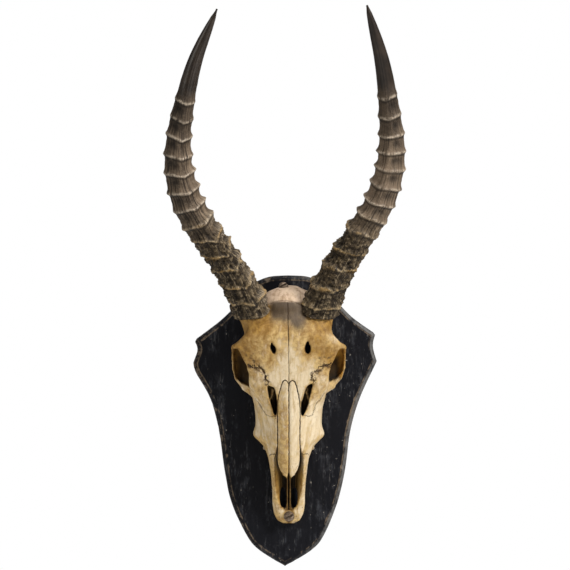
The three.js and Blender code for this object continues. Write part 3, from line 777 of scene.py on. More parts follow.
teeth = dict(
    row=[("premolar_1", 7.5, 7.0), ("premolar_2", 8.5, 8.5), ("premolar_3", 8.5, 9.5),
         ("molar_1", 11.5, 11.0), ("molar_2", 13.0, 11.5), ("molar_3", 13.5, 11.0)],
    start=-24.5, spacing=0.6, chewing=0.4, root=17.0, socketGap=0.35, step=0.36,
    outerEdge=[(-25, 21.6), (-17, 23.4), (-2, 25.6), (20, 27), (42, 26)],
)


def toothPlaces(side):
    start = teeth["start"]
    for name, length, breadth in teeth["row"]:
        middle = start + length / 2
        across = side * (float(flow(teeth["outerEdge"], middle)) - breadth / 2)
        yield name, length, breadth, across, middle
        start += length + teeth["spacing"]


def toothOutline(side, length, breadth, grow=0.0):
    half = [(0.5, 1), (0.98, 0.75), (0.9, -0.7), (0.4, -1)]
    ring = [(0, 0.72), *half, (0, -0.86), *[(-l, b) for l, b in half[::-1]]]
    return np.array([(side * b * (breadth / 2 + grow), l * (length / 2 + grow)) for l, b in ring])


def makeTooth(word, side, name, length, breadth, across, middle):
    corners = roundLoop(toothOutline(side, length, breadth), 3)
    low = (across - breadth / 2 - 1, -0.6, middle - length / 2 - 1)
    high = (across + breadth / 2 + 1, teeth["root"] + 1, middle + length / 2 + 1)
    block = Block(low, high, teeth["step"])

    def crown(u, d, z):
        flat = frontGap(u - across, z - middle, corners)
        taper = 0.05 * np.maximum(d - 8, 0) + 0.1
        ridge = 0.7 * np.cos((z - middle) / length * 4 * np.pi) * np.cos((u - across) / breadth * 2 * np.pi)
        return highest(flat + taper, teeth["chewing"] + 0.8 - ridge - d, d - teeth["root"] + 0.3)

    block.grow(crown, low, high, pair=False)
    for lobe in (-0.25, 0.25) if name.startswith("molar") else (0,):
        pit = egg((across, teeth["chewing"], middle + lobe * length), (breadth * 0.13, 1.6, length * 0.1))
        block.carve(pit, low, high, 0.3, pair=False)
    points, quads = block.skin()
    marks = dict(worn=fade(points[:, 1], 4.0, 0.5), neck=fade(points[:, 1], 7, 12))
    return addSolid(f"{word}_{name}_tooth", toWorld(points), quads, marks)


def enamelFinish():
    f = Finish("ivoryEnamel", Specular_IOR_Level=0.55)
    spot = f.spot()
    worn, neck = f.marks("worn", "neck")
    streak = f.noise(spot, 700, 3, 0.6, squeeze=(1, 0.15, 1))
    stain = f.noise(spot, 260, 3, 0.6)
    colour = f.layers(
        f.mix(streak, (0.6, 0.5, 0.33), (0.84, 0.8, 0.68)), (neck * 0.7, (0.34, 0.22, 0.1)),
        (worn * f.ramp(stain, 0.45, 0.62) * 0.7, (0.16, 0.09, 0.04)))
    f.bump(streak * 0.6 + stain * 0.4, 0.0005, 0.5)
    return f.close(colour, 0.28 + stain * 0.2)


enamel = enamelFinish()
for word, side in (("left", -1), ("right", 1)):
    for tooth in toothPlaces(side):
        settle(makeTooth(word, side, *tooth), f"{word}_{tooth[0]}", enamel)
print("teeth done")


screws = dict(
    step=0.26, shank=2.1, height=3.2, slotWidth=1.3, slotDepth=1.5, pitch=2.4, pilot=13.0,
    hole=2.5, clearance=0.35,
    nose=dict(across=0.3, up=-82.0, seat=13.0, head=4.6, lean=0.0, slotTurn=0.44, node="nose_screw"),
    crown=dict(across=-4.6, up=117.0, seat=43.0, head=4.2, lean=0.5, slotTurn=0.5, node="crown_screw"),
)


def makeScrew(name):
    spec = screws[name]
    reach = spec["seat"] / math.cos(spec["lean"]) + screws["pilot"]
    head, height = spec["head"], screws["height"]
    low, high = (-head - 0.6, -reach - 0.5, -head - 0.6), (head + 0.6, height + 0.6, head + 0.6)
    block = Block(low, high, screws["step"])
    c, s = math.cos(spec["slotTurn"]), math.sin(spec["slotTurn"])

    def dome(x, y, z):
        away = np.sqrt(x * x + z * z)
        cap = np.sqrt((away / head) ** 2 + (np.maximum(y - 0.8, 0) / (height - 0.8)) ** 2)
        return np.maximum((cap - 1) * head * 0.6, -y)

    def slot(x, y, z):
        return np.maximum(np.abs(z * c - x * s) - screws["slotWidth"] / 2, height - screws["slotDepth"] - y)

    def shank(x, y, z):
        away = np.sqrt(x * x + z * z)
        turn = np.arctan2(z, x) / (2 * np.pi)
        tooth = np.abs(((y / screws["pitch"] + turn) % 1.0) - 0.5) * 2
        body = screws["shank"] * np.clip((y + reach - 1.8) / 7, 0.0, 1.0)
        thread = 0.5 * fade(tooth, 0.45, 1.0) * fade(-y, reach * 0.35, reach * 0.35 + 1.5)
        return highest(away - body + thread, -reach + 2 - y, y - 0.5) * 0.8

    block.grow(dome, low, high, pair=False)
    block.grow(shank, low, high, 0.2, pair=False)
    block.carve(slot, (-head, height - screws["slotDepth"], -head), high, 0.12, pair=False)
    points, quads = block.skin()
    points = points + block.slope(points, 0.4) * (0.05 * lumps(points, 1.1, 2.0))[:, None]
    # painted shade in the slot and under the head, from how enclosed each point is
    paintedScrewShade = 1 - fade(block.at(points + block.slope(points, 0.4) * 0.9), 0.2, 0.8)
    x, y, z = points.T
    cl, sl = math.cos(spec["lean"]), math.sin(spec["lean"])
    placed = np.stack([x + spec["across"], y * cl - z * sl + spec["seat"], z * cl + y * sl + spec["up"]], 1)
    return addSolid(name + "Screw", toWorld(placed), quads, dict(paintedScrewShade=paintedScrewShade))


def screwFinish():
    f = Finish("tarnishedScrew", Metallic=0.75)
    spot = f.spot()
    # painted shade in the slot and under the head
    (paintedScrewShade,) = f.marks("paintedScrewShade")
    patch = f.noise(spot, 420, 4, 0.65)
    fine = f.noise(spot, 1700, 2, 0.6)
    colour = f.layers(
        f.mix(f.ramp(patch, 0.38, 0.66), (0.12, 0.08, 0.05), (0.3, 0.23, 0.17)),
        (f.ramp(fine, 0.5, 0.75) * 0.5, (0.09, 0.05, 0.03)), (paintedScrewShade * 0.85, (0.02, 0.013, 0.008)))
    f.bump(patch * 0.6 + fine * 0.5, 0.0004, 0.5)
    return f.close(colour, 0.42 + patch * 0.2 + paintedScrewShade * 0.25)


screwMetal = screwFinish()
for name in ("nose", "crown"):
    settle(makeScrew(name), screws[name]["node"], screwMetal)
print("screws done")


skull = dict(
    step=0.98, grooveDepth=0.3, pitDepth=1.0,
    low=(-53, 0.5, -91), high=(53, 84, 121),
    # height, then how far the midline stands out, the shoulder, the widest point
    # and the tooth edge as across and out, and the midline's underside
    sections=[
        (-88.5, 7, 3.5, 7, 5, 5.5, 3.5, 3.5, 3), (-86, 10, 7, 9.5, 9.5, 6, 7, 2.5, 2),
        (-80, 13, 9, 12.5, 12.8, 8, 9, 2.5, 2), (-72, 14, 10.8, 14.5, 14, 10, 10.5, 3, 2.5),
        (-60, 19, 11.5, 20, 14.2, 14, 11.5, 4.5, 4), (-45, 27, 12.5, 29, 15.4, 20, 13, 6.5, 6),
        (-30, 38, 12.5, 39, 17.6, 26, 15, 9, 8.5), (-20, 45, 11.5, 45.5, 21.6, 27, 19.5, 11, 9.5),
        (-11, 48, 11.5, 48.5, 29.9, 24, 24, 11, 9.5), (-2, 51, 11.5, 51.5, 27.3, 28, 25, 11, 9.5),
        (10, 55, 12.5, 55, 26.5, 36, 26.5, 11, 9.5), (20, 59, 17, 58, 29.5, 40, 27, 12, 10),
        (33, 64, 24, 61, 34, 51, 26, 14, 12), (45, 67.5, 28.5, 64, 34, 55, 22, 16, 14),
        (54, 70.3, 32, 66.4, 38, 58, 20, 16, 14), (61, 72.7, 35, 68.2, 40.6, 58.5, 21, 16, 14),
        (66, 74.3, 36.5, 69.8, 48.6, 58.5, 23, 16, 14), (71, 75.7, 35, 72, 42.5, 60, 25, 17, 14),
        (77, 76.6, 31, 73.2, 37.2, 62, 27, 18, 14), (85, 75.5, 24, 71, 34.6, 60, 30, 20, 13),
        (92, 71.5, 19, 66, 32, 54, 30, 20, 12), (98, 66, 18, 60, 30, 50, 29, 20, 10),
        (104, 60, 18, 55, 28, 44, 26, 22, 8), (112, 49, 13, 46, 18.5, 38, 16, 24, 14),
        (117, 40, 6, 38.5, 8, 35, 7, 30, 29)],
    nasalWidth=[(-46.5, 3), (-44, 5), (-41, 6.8), (-36, 8.6), (-30, 9.4), (-12, 9.2), (13, 9.7), (24, 7.7),
                (37, 4.6)],
    nasalHeight=[(-46.5, 41), (-33, 46), (-12, 52.5), (13, 59.6), (24, 62.6), (38, 66.6)],
    noseHollow=[(-77, 4, 2, 9.5, 24), (-71, 8.6, 5, 8, 28), (-62, 10.8, 6, 7, 34), (-45, 11.8, 6, 9, 44),
                (-30, 12, 6.5, 11, 50), (-18, 9, 6, 14, 44), (8, 8, 6, 20, 48), (30, 6, 4, 32, 50)],
    orbit=(45, 38, 44.5), orbitRadii=(24, 19, 20.7), orbitWall=0.6,
    # the orbits' edges differ a little: the left one is thin, the right one has a broad floor
    orbitTop=[(43.0, 64.4), (46.4, 65.0), (49.6, 65.2), (49.6, 47), (35.6, 47.5), (38.4, 55.5)],
    orbitRims=dict(
        left=[(24, 33, 18, 3, 8), (31.2, 27, 26.5, 1.7, 6), (40, 22, 31.5, 1.3, 4.6),
              (45.5, 19.5, 38, 0.95, 4.2), (47.6, 20.5, 47, 1.05, 4), (47.9, 24.5, 56.5, 1.1, 3),
              (47.9, 33, 62.6, 1.1, 2.3)],
        right=[(24, 33, 20, 3, 8), (31.2, 27, 30, 1.7, 7), (40, 22, 34.5, 1.3, 6.5),
               (45.5, 19.5, 40, 0.95, 5.5), (47.6, 20.5, 48, 1.05, 4.5), (47.9, 24.5, 56.5, 1.1, 3.2),
               (47.9, 33, 62.6, 1.1, 2.4)]),
    rimTop=[(47.9, 44, 64.8, 1.1, 1.7), (47.9, 54, 65.3, 1.1, 1.5), (41, 62, 67.2, 2.0, 1.6)],
    cheekEdge=[(20, 20), (26, 29.5), (30.5, 37), (36, 43.5), (45, 47), (69, 47.4)],
    cheekArch=[(43.5, 17, 38, 1.7, 4.5), (44.6, 15, 50, 1.8, 4), (41, 14, 64, 2.0, 4), (35, 17, 78, 2.4, 5),
               (28, 21, 90, 4, 7)],
    slits=dict(
        left=[(-18, 33), (-14.6, 32.4), (-12, 31), (-10.6, 24), (-9.8, 17.6), (-10.2, 9.6), (-12, 8),
              (-13.8, 13), (-15.9, 20), (-17.2, 25.5)],
        right=[(20.2, 35), (15.1, 32), (11.7, 22), (10.4, 18.4), (10.4, 9.2), (12.2, 7.6), (14.4, 12),
               (16.4, 16.7), (17.3, 22), (18.9, 28.6)]),
    foramina=[(-14.9, 65.4, 2.0, 4.6, 4.0), (15.4, 66.0, 2.5, 5.2, 1.0)],
    # amount, then middle and width across and up; the first, paler patch on the right beside the orbit is a
    # painted highlight
    ochreAndHighlightPatches=[(-0.45, 38, 7, 76, 8), (0.34, 38, 9, 58, 8), (0.34, -40, 9, 62, 9), (-0.1, -18, 9, 70, 12)],
    struts=[((-12.4, 29.5), (-16.4, 19.5)), ((-14.2, 31), (-15.4, 21)), ((13.6, 30.2), (16.9, 20.5)),
            ((15.8, 32), (16.4, 22.5))],
)


def shellOutline(height):
    rows = np.array(skull["sections"], float)
    top, sx, sy, wx, wy, ex, ey, under = (
        float(flow(np.stack([rows[:, 0], rows[:, k]], 1), height)) for k in range(1, 9))
    right = [(sx, sy), (wx, wy), (ex, ey)]
    return roundLoop([(0, top), *right, (0, under), *[(-a, b) for a, b in right[::-1]]], 5)


def hollowOutline(height):
    rows = np.array(skull["noseHollow"], float)
    rim, base, start, end = (float(np.interp(height, rows[:, 0], rows[:, k])) for k in range(1, 5))
    right = [(rim, end), (rim, (start + end) / 2), (base, start)]
    return np.array([*right, *[(-a, b) for a, b in right[::-1]]])


def pedicle(name, grow, start, end, flare, sagged=False):
    spec = horns[name]
    where, forward, front, outer, _ = hornFrame(spec, np.array([0.0]))
    wide, deep = (half + grow for half in horns["stump"])

    def shape(u, d, z):
        offset = (u - where[0, 0], d - where[0, 1], z - where[0, 2])
        run, p, q = (sum(o * v for o, v in zip(offset, axis[0])) for axis in (forward, front, outer))
        spread = 1 + flare * run
        tall = np.minimum(p, 0) if sagged else p
        near = np.sqrt((tall / (deep * spread)) ** 2 + (q / (wide * spread)) ** 2)
        first = start - hornSag(np.arctan2(q, p)) - 0.6 if sagged else start
        return highest((near - 1) * 14, first - run, run - end)

    return shape, where[0]


def nasalTop(a, z):
    return flow(skull["nasalHeight"], z) - 3.4 * (a / 9.5) ** 2.2 - 0.9 * np.exp(-((a / 0.7) ** 2))


def nasalRoof(a, d, z):
    wide = flow(skull["nasalWidth"], z)
    top = nasalTop(a, z)
    tip = -46.4 + np.where(a < 2, 2.2 * (2 - a), 0.52 * np.maximum(a - 2, 0) ** 1.5)
    tip = tip + 0.8 * np.sin(a * 2.1 + 1.0)
    crown = 38 - 0.32 * (a - 3.2) ** 2
    return highest(a - wide, d - top, top - 4.2 - d, (tip - z) * 0.7, (z - crown) * 0.7)


def nasalGap(a, d, z):
    wide = flow(skull["nasalWidth"], z)
    return highest(np.abs(a - wide - 0.35) - 0.45, nasalTop(a, z) - 6 - d, -40 - z, z + 20)


def septum(a, d, z):
    flare = np.maximum(-71 - z, 0)
    thick = 0.6 + 0.16 * flare
    top = 12 + 0.3 * (z + 77)
    middle = 1.3 + 0.12 * flare
    return highest(np.abs(a - middle) - thick, d - top, 4 - d, -80 - z, z + 12)


def tipNotch(u, d, z):
    return highest(np.abs(u - 0.3) - 0.75, z + 80, 6 - d)


def screwHole(spec, radius, start):
    c, s = math.cos(spec["lean"]), math.sin(spec["lean"])

    def shape(u, d, z):
        y, w = d - spec["seat"], z - spec["up"]
        run, rise = y * c + w * s, w * c - y * s
        return np.maximum(np.sqrt((u - spec["across"]) ** 2 + rise**2) - radius, start - run)

    return shape


def slit(corners, depth=34):
    loop = roundLoop(corners, 4)

    def shape(u, d, z):
        return np.maximum(frontGap(u, z, loop), depth - d)

    return shape


def makeBone():
    block = Block(skull["low"], skull["high"], skull["step"])
    block.grow(tower(shellOutline, -88.5, 117), skull["low"], skull["high"])
    block.grow(egg((27, 19, 42), (15.5, 8, 17)), (0, 8, 20), (48, 30, 62), 2)
    for name in ("left", "right"):
        stump, at = pedicle(name, -1.8, -26, -0.35, 0.0)
        block.grow(stump, at - 34, at + 34, 6, pair=False)
    for name in ("left", "right"):
        room, at = pedicle(name, 0.9, -0.3, 30, 0.0, True)
        block.carve(room, at - 34, at + 40, pair=False)
        plug, at = pedicle(name, -3.1, -14, 11, -0.016)
        block.grow(plug, at - 24, at + 30, pair=False)
    block.grow(egg((0, 43, 98), (26, 27, 19.6)), (-28, 14, 78), (28, 72, 119), 4, pair=False)
    # orbits, the hollows behind them and the bone round them
    block.carve(egg(skull["orbit"], skull["orbitRadii"]), (18, 16, 20), (53, 60, 69), 1)
    block.carve(egg((46, 39, 79), (16, 17, 17)), (28, 20, 60), (53, 58, 98), 4)
    ball = egg(skull["orbit"], [radius + skull["orbitWall"] for radius in skull["orbitRadii"]])
    for side, lift in ((-1, 0.8), (1, 3.0)):
        def bowl(u, d, z):
            edge = u * side - flow(skull["cheekEdge"], z - lift)
            return highest(np.abs(ball(u * side, d, z)) - 0.9, edge, d - 48)

        ends = sorted((side * 18, side * 48))
        block.grow(bowl, (ends[0], 16, 20), (ends[1], 50, 69), 0.6, pair=False)
    block.carve(slit(skull["orbitTop"], 38), (35, 38, 46), (51, 72, 66), 0.5)
    block.carve(bar([(30, 34, 50, 2.4, 2.8), (14, 33, 53, 2.0, 2.4)]), (13, 28, 44), (31, 42, 58), 0.8)
    for name, side in (("left", -1), ("right", 1)):
        rim = bar([(side * across, *rest) for across, *rest in skull["orbitRims"][name] + skull["rimTop"]])
        ends = sorted((side * 20, side * 53))
        block.grow(rim, (ends[0], 8, 6), (ends[1], 72, 76), 1.2, pair=False)
    block.grow(bar(skull["cheekArch"]), (22, 6, 28), (53, 32, 100), 2.0)
    # the ear region and the neck joint
    block.grow(egg((16, 13, 92), (9, 9, 13)), (5, 2, 76), (28, 26, 108), 3)
    block.grow(egg((9.5, 13, 106), (6, 9, 8)), (2, 2, 96), (18, 24, 116), 2.5)
    block.grow(bar([(21, 16, 98, 3, 5), (22, 8, 105, 2, 3)]), (16, 2, 90), (27, 24, 110), 2)
    canal = bar([(0, -2, 112, 7.5, 7.5), (0, 20, 110, 7.0, 7.0)])
    block.carve(canal, (-9, 0, 100), (9, 26, 121), 1.5, pair=False)
    block.carve(bar([(34, 24, 93, 2.2, 2.2), (24, 22, 92, 2.0, 2.0)]), (20, 18, 88), (38, 28, 98), 1)
    # nose
    block.carve(tower(hollowOutline, -77, 30), (-14, 5, -80), (14, 52, 32), 1.2, pair=False)
    block.grow(nasalRoof, (0, 34, -48), (11, 70, 40), 0.5)
    block.carve(nasalGap, (5, 36, -42), (12, 66, 33), 0.3)
    block.grow(septum, (0, 3, -81), (4, 36, -11), 0.3)
    block.carve(egg((5.3, 5, -66.5), (3.1, 13, 9.2)), (2, 0, -78), (10, 19, -54), 0.6)
    for corners in skull["slits"].values():
        across = [c[0] for c in corners]
        block.carve(slit(corners), (min(across) - 1, 34, 8), (max(across) + 1, 70, 37), 0.3, pair=False)
    for (u0, z0), (u1, z1) in skull["struts"]:
        rod = bar([(u0, 57, z0, 0.75, 0.9), (u1, 54, z1, 0.75, 0.9)])
        block.grow(rod, (min(u0, u1) - 2, 50, z1 - 2), (max(u0, u1) + 2, 62, z0 + 2), 0.5, pair=False)
    # openings for nerves and vessels: a drop with a peak, in a shallow gutter
    for across, up, wide, tall, lean in skull["foramina"]:
        def carveHere(path, reach, depths, heights, soft):
            ends = zip((-reach, reach), depths, heights)
            low, high = ((across + shift, depth, up + rise) for shift, depth, rise in ends)
            block.carve(bar(path), low, high, soft, pair=False)

        dropTall, peakTall, peakWide = tall * 0.78, tall * 0.72, wide * 0.48
        drop = [(across, 90, up - 0.4, wide * 0.95, dropTall), (across + lean, 58, up - 1.6, wide, dropTall)]
        peak = [(across + 0.4, out, up + rise, peakWide, peakTall) for out, rise in ((90, 2.4), (62, 1.8))]
        gutter = [(across, 75.2, up, 2.6, 2.2), (across * 0.98, 72.5, up - 12, 2.4, 1.4),
                  (across, 70.5, up - 24, 2, 0.8)]
        carveHere(drop, 5, (60, 84), (-8, 8), 0.5)
        carveHere(peak, 5, (60, 84), (-8, 9), 1.0)
        carveHere(gutter, 6, (64, 80), (-30, 4), 2.5)
    block.carve(bar([(27, 20, -16, 2.0, 3.0), (21, 22, -4, 1.6, 2.2)]), (18, 14, -22), (32, 28, 2), 1)
    # fixing holes and tooth sockets
    clear = screws["clearance"]
    for spec in (screws["nose"], screws["crown"]):
        box = dict(low=(-12, 0.5, spec["up"] - 40), high=(12, 70, spec["up"] + 10), pair=False)
        block.carve(screwHole(spec, screws["hole"], -90), **box)
        block.carve(screwHole(spec, spec["head"] + clear, -clear), **box)
    block.carve(tipNotch, (-2, 5, -91), (2, 16, -79), 0.4, pair=False)
    gap = teeth["socketGap"]
    for side in (-1, 1):
        for name, length, breadth, across, middle in toothPlaces(side):
            corners = roundLoop(toothOutline(side, length, breadth, gap), 3)

            def socket(u, d, z):
                return np.maximum(frontGap(u - across, z - middle, corners), d - teeth["root"] - gap)

            halfWide, halfLong = breadth / 2 + 1, length / 2 + 1
            block.carve(socket, (across - halfWide, 0, middle - halfLong),
                        (across + halfWide, 20, middle + halfLong), pair=False)
    return block


# seams between the bones, as across and up on the face, with how dark and how jagged they are
midline = [(0.1, -47), (0.1, 10), (0.0, 34.5), (0.1, 45), (-0.3, 56), (0.0, 66), (-0.4, 76), (-0.7, 88),
           (-0.8, 103)]
nasalEdge = [(9.8, -30), (9.6, -12), (9.8, 8), (9.6, 18), (8.2, 26), (6.6, 33), (5.2, 36.6), (3.2, 38.2),
             (1.2, 36.9)]
seams = [
    (0.9, 0.3, [*((-across, up) for across, up in nasalEdge), (0, 34.6), *nasalEdge[::-1]]),
    (0.85, 1.6, [(-33.5, 51), (-31, 49.5), (-29.5, 51.5), (-27, 48.8), (-25, 49.8), (-22.6, 46),
                 (-20.6, 44.5), (-19.8, 40), (-18, 35)]),
    (0.85, 1.6, [(36, 52), (33, 50), (30.8, 51.5), (28, 48.8), (25.5, 48.4), (23.2, 45.2), (20.6, 43.5),
                 (20, 40.5), (20.8, 35.6)]),
    (0.5, 0.9, [(-31, 25), (-28, 20.5), (-24.8, 17), (-21.5, 10.5), (-19.7, 7.9), (-16, 6.8), (-11.6, 6.9)]),
    (0.5, 0.9, [(30.2, 26.5), (26.5, 20.5), (23.4, 16.6), (21.6, 11), (20.4, 8), (17, 6.8), (13, 7.2)]),
    (0.6, 0.6, [(-17.5, -29), (-15.6, -26.6), (-12.4, -26), (-10.6, -27)]),
    (0.6, 0.6, [(18, -28.5), (16, -26), (12.8, -25.6), (10.8, -27)]),
    (0.35, 0.4, [(-19, 101.5), (-12, 104.4), (-3, 105.6), (5, 104.4), (12, 100.8), (16, 98)]),
]


def nearLine(u, z, line):  # distance to a line, and on which side
    best, side = np.full(len(u), 1e9), np.ones(len(u))
    for (x0, y0), (x1, y1) in zip(line[:-1], line[1:]):
        dx, dy = x1 - x0, y1 - y0
        t = np.clip(((u - x0) * dx + (z - y0) * dy) / (dx * dx + dy * dy), 0, 1)
        near = np.hypot(u - x0 - t * dx, z - y0 - t * dy)
        side = np.where(near < best, np.where((u - x0) * dy > (z - y0) * dx, 1, -1), side)
        best = np.minimum(near, best)
    return best, side


# signed distances to the seams, how dark and jagged they are, the porous bone beside them, and their grooves
def seamMarks(points):
    u, z = points[:, 0], points[:, 2]
    best, gap, dark, jag, lace = np.full(len(u), 1e9), *(np.zeros(len(u)) for _ in range(4))
    for seamDark, seamJag, line in seams:
        near, side = nearLine(u, z, line)
        closer = near < best
        best = np.minimum(near, best)
        gap = np.where(closer, near * side, gap)
        dark = np.where(closer, seamDark, dark)
        jag = np.where(closer, seamJag, jag)
        if seamJag > 1.3:
            lace = np.maximum(lace, 1 - fade(near, 0.8, 4.0))
    near, side = nearLine(u, z, midline)
    groove = 1 - fade(np.minimum(np.where(jag < 0.5, best, 9), near), 0.3, 1.1)
    midDark = np.interp(z, (-46, 34, 36, 66, 68, 103), (0.95, 0.95, 0.55, 0.55, 0.8, 0.85))
    return dict(gap=gap, seam=dark * (1 - fade(best, 1.6, 3.0)), jag=jag, lace=lace, midGap=near * side,
                midSeam=midDark * (1 - fade(near, 1.6, 3.0))), groove


def patch(x, y, atX, wideX, atY, wideY):  # a soft round patch
    return bell(x, atX, wideX) * bell(y, atY, wideY)


def makeSkull():
    block = makeBone()
    points, quads = block.skin()
    normal = block.slope(points, 1.0)
    front = fade(normal[:, 1], 0.15, 0.45)
    lines, groove = seamMarks(points)
    for name in ("seam", "midSeam", "lace"):
        lines[name] = lines[name] * front
    u, d, z = points.T
    a, side = np.abs(u), np.sign(u)
    # pitted bone along the orbits' edges and the seams above the slits
    rimLine = np.abs(a - np.interp(z, (34, 42, 47, 54, 61), (33, 34, 36, 39, 42)))
    pitted = highest(0.75 * patch(a, z, 32, 9, 54, 12), lines["lace"], patch(rimLine, z, 0, 3, 50, 11))
    pits = np.maximum(0, lumps(points, 2.1, 8.0) + 0.5 * lumps(points, 1.2, 3.0) - 0.2) * (pitted * front)
    lift = 0.22 * lumps(points, 11, 3.0) + 0.09 * lumps(points, 4.0, 6.0) + 0.05 * lumps(points, 1.8, 1.0)
    lift -= skull["grooveDepth"] * groove * front + skull["pitDepth"] * pits
    points = points + normal * lift[:, None]
    # how enclosed each point is
    shade = np.zeros(len(points))
    for reach, weight in ((2.0, 0.3), (5.0, 0.35), (10.0, 0.35)):
        shade += weight * np.clip(1 - block.at(points + normal * reach) / reach, 0, 1)
    mottle = 0.6 * lumps(points, 9, 9.0) + 0.4 * lumps(points, 3.5, 2.0)
    thin = fade(block.at(points - normal * 2.6), -2.3, -0.9)
    inward = -normal[:, 0] * side
    # painted shade on the faces inside the orbits and the nose
    toEye = np.stack([side * 36, 0 * d + 36, 0 * z + 44], 1) - points
    facing = np.einsum("ij,ij->i", normal, toEye) / np.linalg.norm(toEye, axis=1)
    fromOrbit = (np.stack([a, d, z], 1) - skull["orbit"]) / skull["orbitRadii"]
    inOrbit = fade(np.linalg.norm(fromOrbit, axis=1), 1.4, 1.2)
    inOrbit *= fade(facing, 0.2, 0.55) * fade(a, 15, 19)
    behind = fade(d, 58, 50) * fade(a, 27, 31) * fade(a, 47.6, 46.6) * fade(z, 28, 32) * fade(z, 65, 63.2)
    behind *= np.maximum(fade(d, 44, 38), fade(a, 44, 45.5)) * fade(z, 35, 39)
    inOrbit = np.maximum(inOrbit, behind * fade(-inward, 0.85, 0.6) * fade(z - 0.85 * a, -9.5, -6.5))
    underNasal = d - flow(skull["nasalHeight"], z)
    inNose = fade(underNasal, -5, -9) * fade(a, 13.5, 11) * fade(z, -79, -75) * fade(z, 36, 30)
    inNose *= fade(shade, 0.12, 0.4)
    # the side walls of the open nose catch the light, the left one more, so they get less of the painted
    # shade
    wall = fade(inward, 0.35, 0.75) * fade(z, -36, -46) * fade(a, 3.5, 6) * np.where(u < 0, 0.95, 0.75)
    inNose *= 1 - wall
    # painted shade in deep recesses, from how enclosed each point is
    deep = np.clip(shade * 1.6 - 0.5, 0, 1) * (1 - 0.8 * wall)
    # painted shade: the insides of the foramina are painted nearly black
    inHole = 0
    for across, up, wide, tall, _ in skull["foramina"]:
        inHole = inHole + fade(((u - across) / wide) ** 2 + ((z - up - 0.8) / (tall + 0.8)) ** 2, 1.7, 1.1)
    inHole = inHole * fade(d - np.interp(z, (45, 77, 90), (67.5, 76.6, 72)), -1.4, -2.8)
    # the septum's plates inside the nose get painted shade and are browner
    septal = fade(a, 3.4, 2.4) * fade(z, -44, -48) * fade(z, -79, -75)
    nasal = fade(underNasal, -4.5, -3) * fade(a, 10, 9.4) * fade(z, 38, 34) * fade(z, -47.5, -46)
    # how far the bone has yellowed and browned, with some painted light and shade mixed in
    ochreAndPaintedLight = 0.12 + 0.45 * fade(z, 34, 66) * (1 - 0.75 * bell(u, 0, 11) * fade(z, 84, 60))
    ochreAndPaintedLight += 0.5 * bell(a, 27, 14) * fade(z, 66, 90) + 0.25 * patch(a, z, 34, 8, 46, 16)
    ochreAndPaintedLight += (0.04 * fade(z, -24, -50) + 0.12 * fade(z, -78, -87)) * (1 - nasal) + 0.1 * fade(a, 12, 30)
    ochreAndPaintedLight += 0.08 * fade(u, -4, -14) * fade(z, 30, 10)
    # painted light and shade: the left halves of the nasals browner, the right halves paler
    ochreAndPaintedLight += nasal * (0.16 * fade(u, 1, -1) - 0.15 * fade(u, -1, 1))
    # painted shade: undersides low on the face and faces turned from the front are browner
    ochreAndPaintedLight += 0.25 * fade(normal[:, 2], 0.1, -0.6) * fade(z, 0, -12) + 0.12 * fade(normal[:, 1], 0.5, -0.2)
    ochreAndPaintedLight -= 0.08 * fade(u, -8, 22) * fade(z, 30, 0)
    # browner and paler patches; the paler one on the right beside the orbit is a painted highlight
    for amount, *where in skull["ochreAndHighlightPatches"]:
        ochreAndPaintedLight += amount * patch(u, z, *where)
    for across, up, *_ in skull["foramina"]:
        ochreAndPaintedLight += 0.3 * patch(u, z, across, 3.6, up - 6, 7)
    # dirt has settled round the slits and on the cheeks beside them
    slitGap = np.minimum.reduce([outlineGap(u, z, np.array(corners)) for corners in skull["slits"].values()])
    ochreAndPaintedLight += (0.5 * np.exp(-np.maximum(slitGap, 0) / 1.7) + 0.2 * patch(a, z, 25, 6, 31, 10)) * front
    ochreAndPaintedLight += 0.14 * thin * (0.6 + 0.4 * mottle) + 0.5 * wall + 0.6 * septal
    ochreAndPaintedLight += 0.4 * fade(inward, 0.0, 0.4) * fade(z, -28, -38) * fade(a, 12.8, 10.6) * (1 - nasal)
    spotty = 0.25 + 0.75 * fade(z, -20, -50)
    spotty += 0.9 * patch(a, z, 34, 12, 58, 14) + 0.4 * patch(a, z, 22, 9, 25, 14)
    stain = 1.6 * fade(np.abs(u + 0.5), 19, 10) * bell(z, 97, 10) * fade(z, 106, 103)
    stain += 0.8 * patch(u, z, 9, 8, 87, 10)
    for name in ("seam", "lace"):
        lines[name] = lines[name] * (1 - inOrbit)
    blush = fade(z + 3 * mottle, 99, 105) * (0.35 + 0.65 * fade(d, 24, 38))
    # painted light on the top, outer and bottom walls inside the orbits, the right orbit more
    paintedOrbitLight = inOrbit * highest(fade(z, 53, 61), fade(a, 41, 46), 0.7 * fade(z, 37, 31))
    paintedOrbitLight *= np.where(u > 0, 1.0, 0.35)
    marks = dict(
        paintedHollowShade=highest(deep, inOrbit, inNose, 0.6 * septal), paintedHoleShade=inHole, paintedOrbitLight=paintedOrbitLight, spotty=spotty,
        enclosed=shade, pits=pits * 3, ochreAndPaintedLight=ochreAndPaintedLight + 0.22 * mottle * (0.3 + ochreAndPaintedLight),
        stain=stain * (0.9 + 0.5 * mottle), blush=blush)
    marks = {name: np.clip(values, 0, 1) for name, values in marks.items()}
    print("skull", len(points), "points", len(quads), "quads")
    return addSolid("springbokSkull", toWorld(points), quads, dict(**marks, **lines))


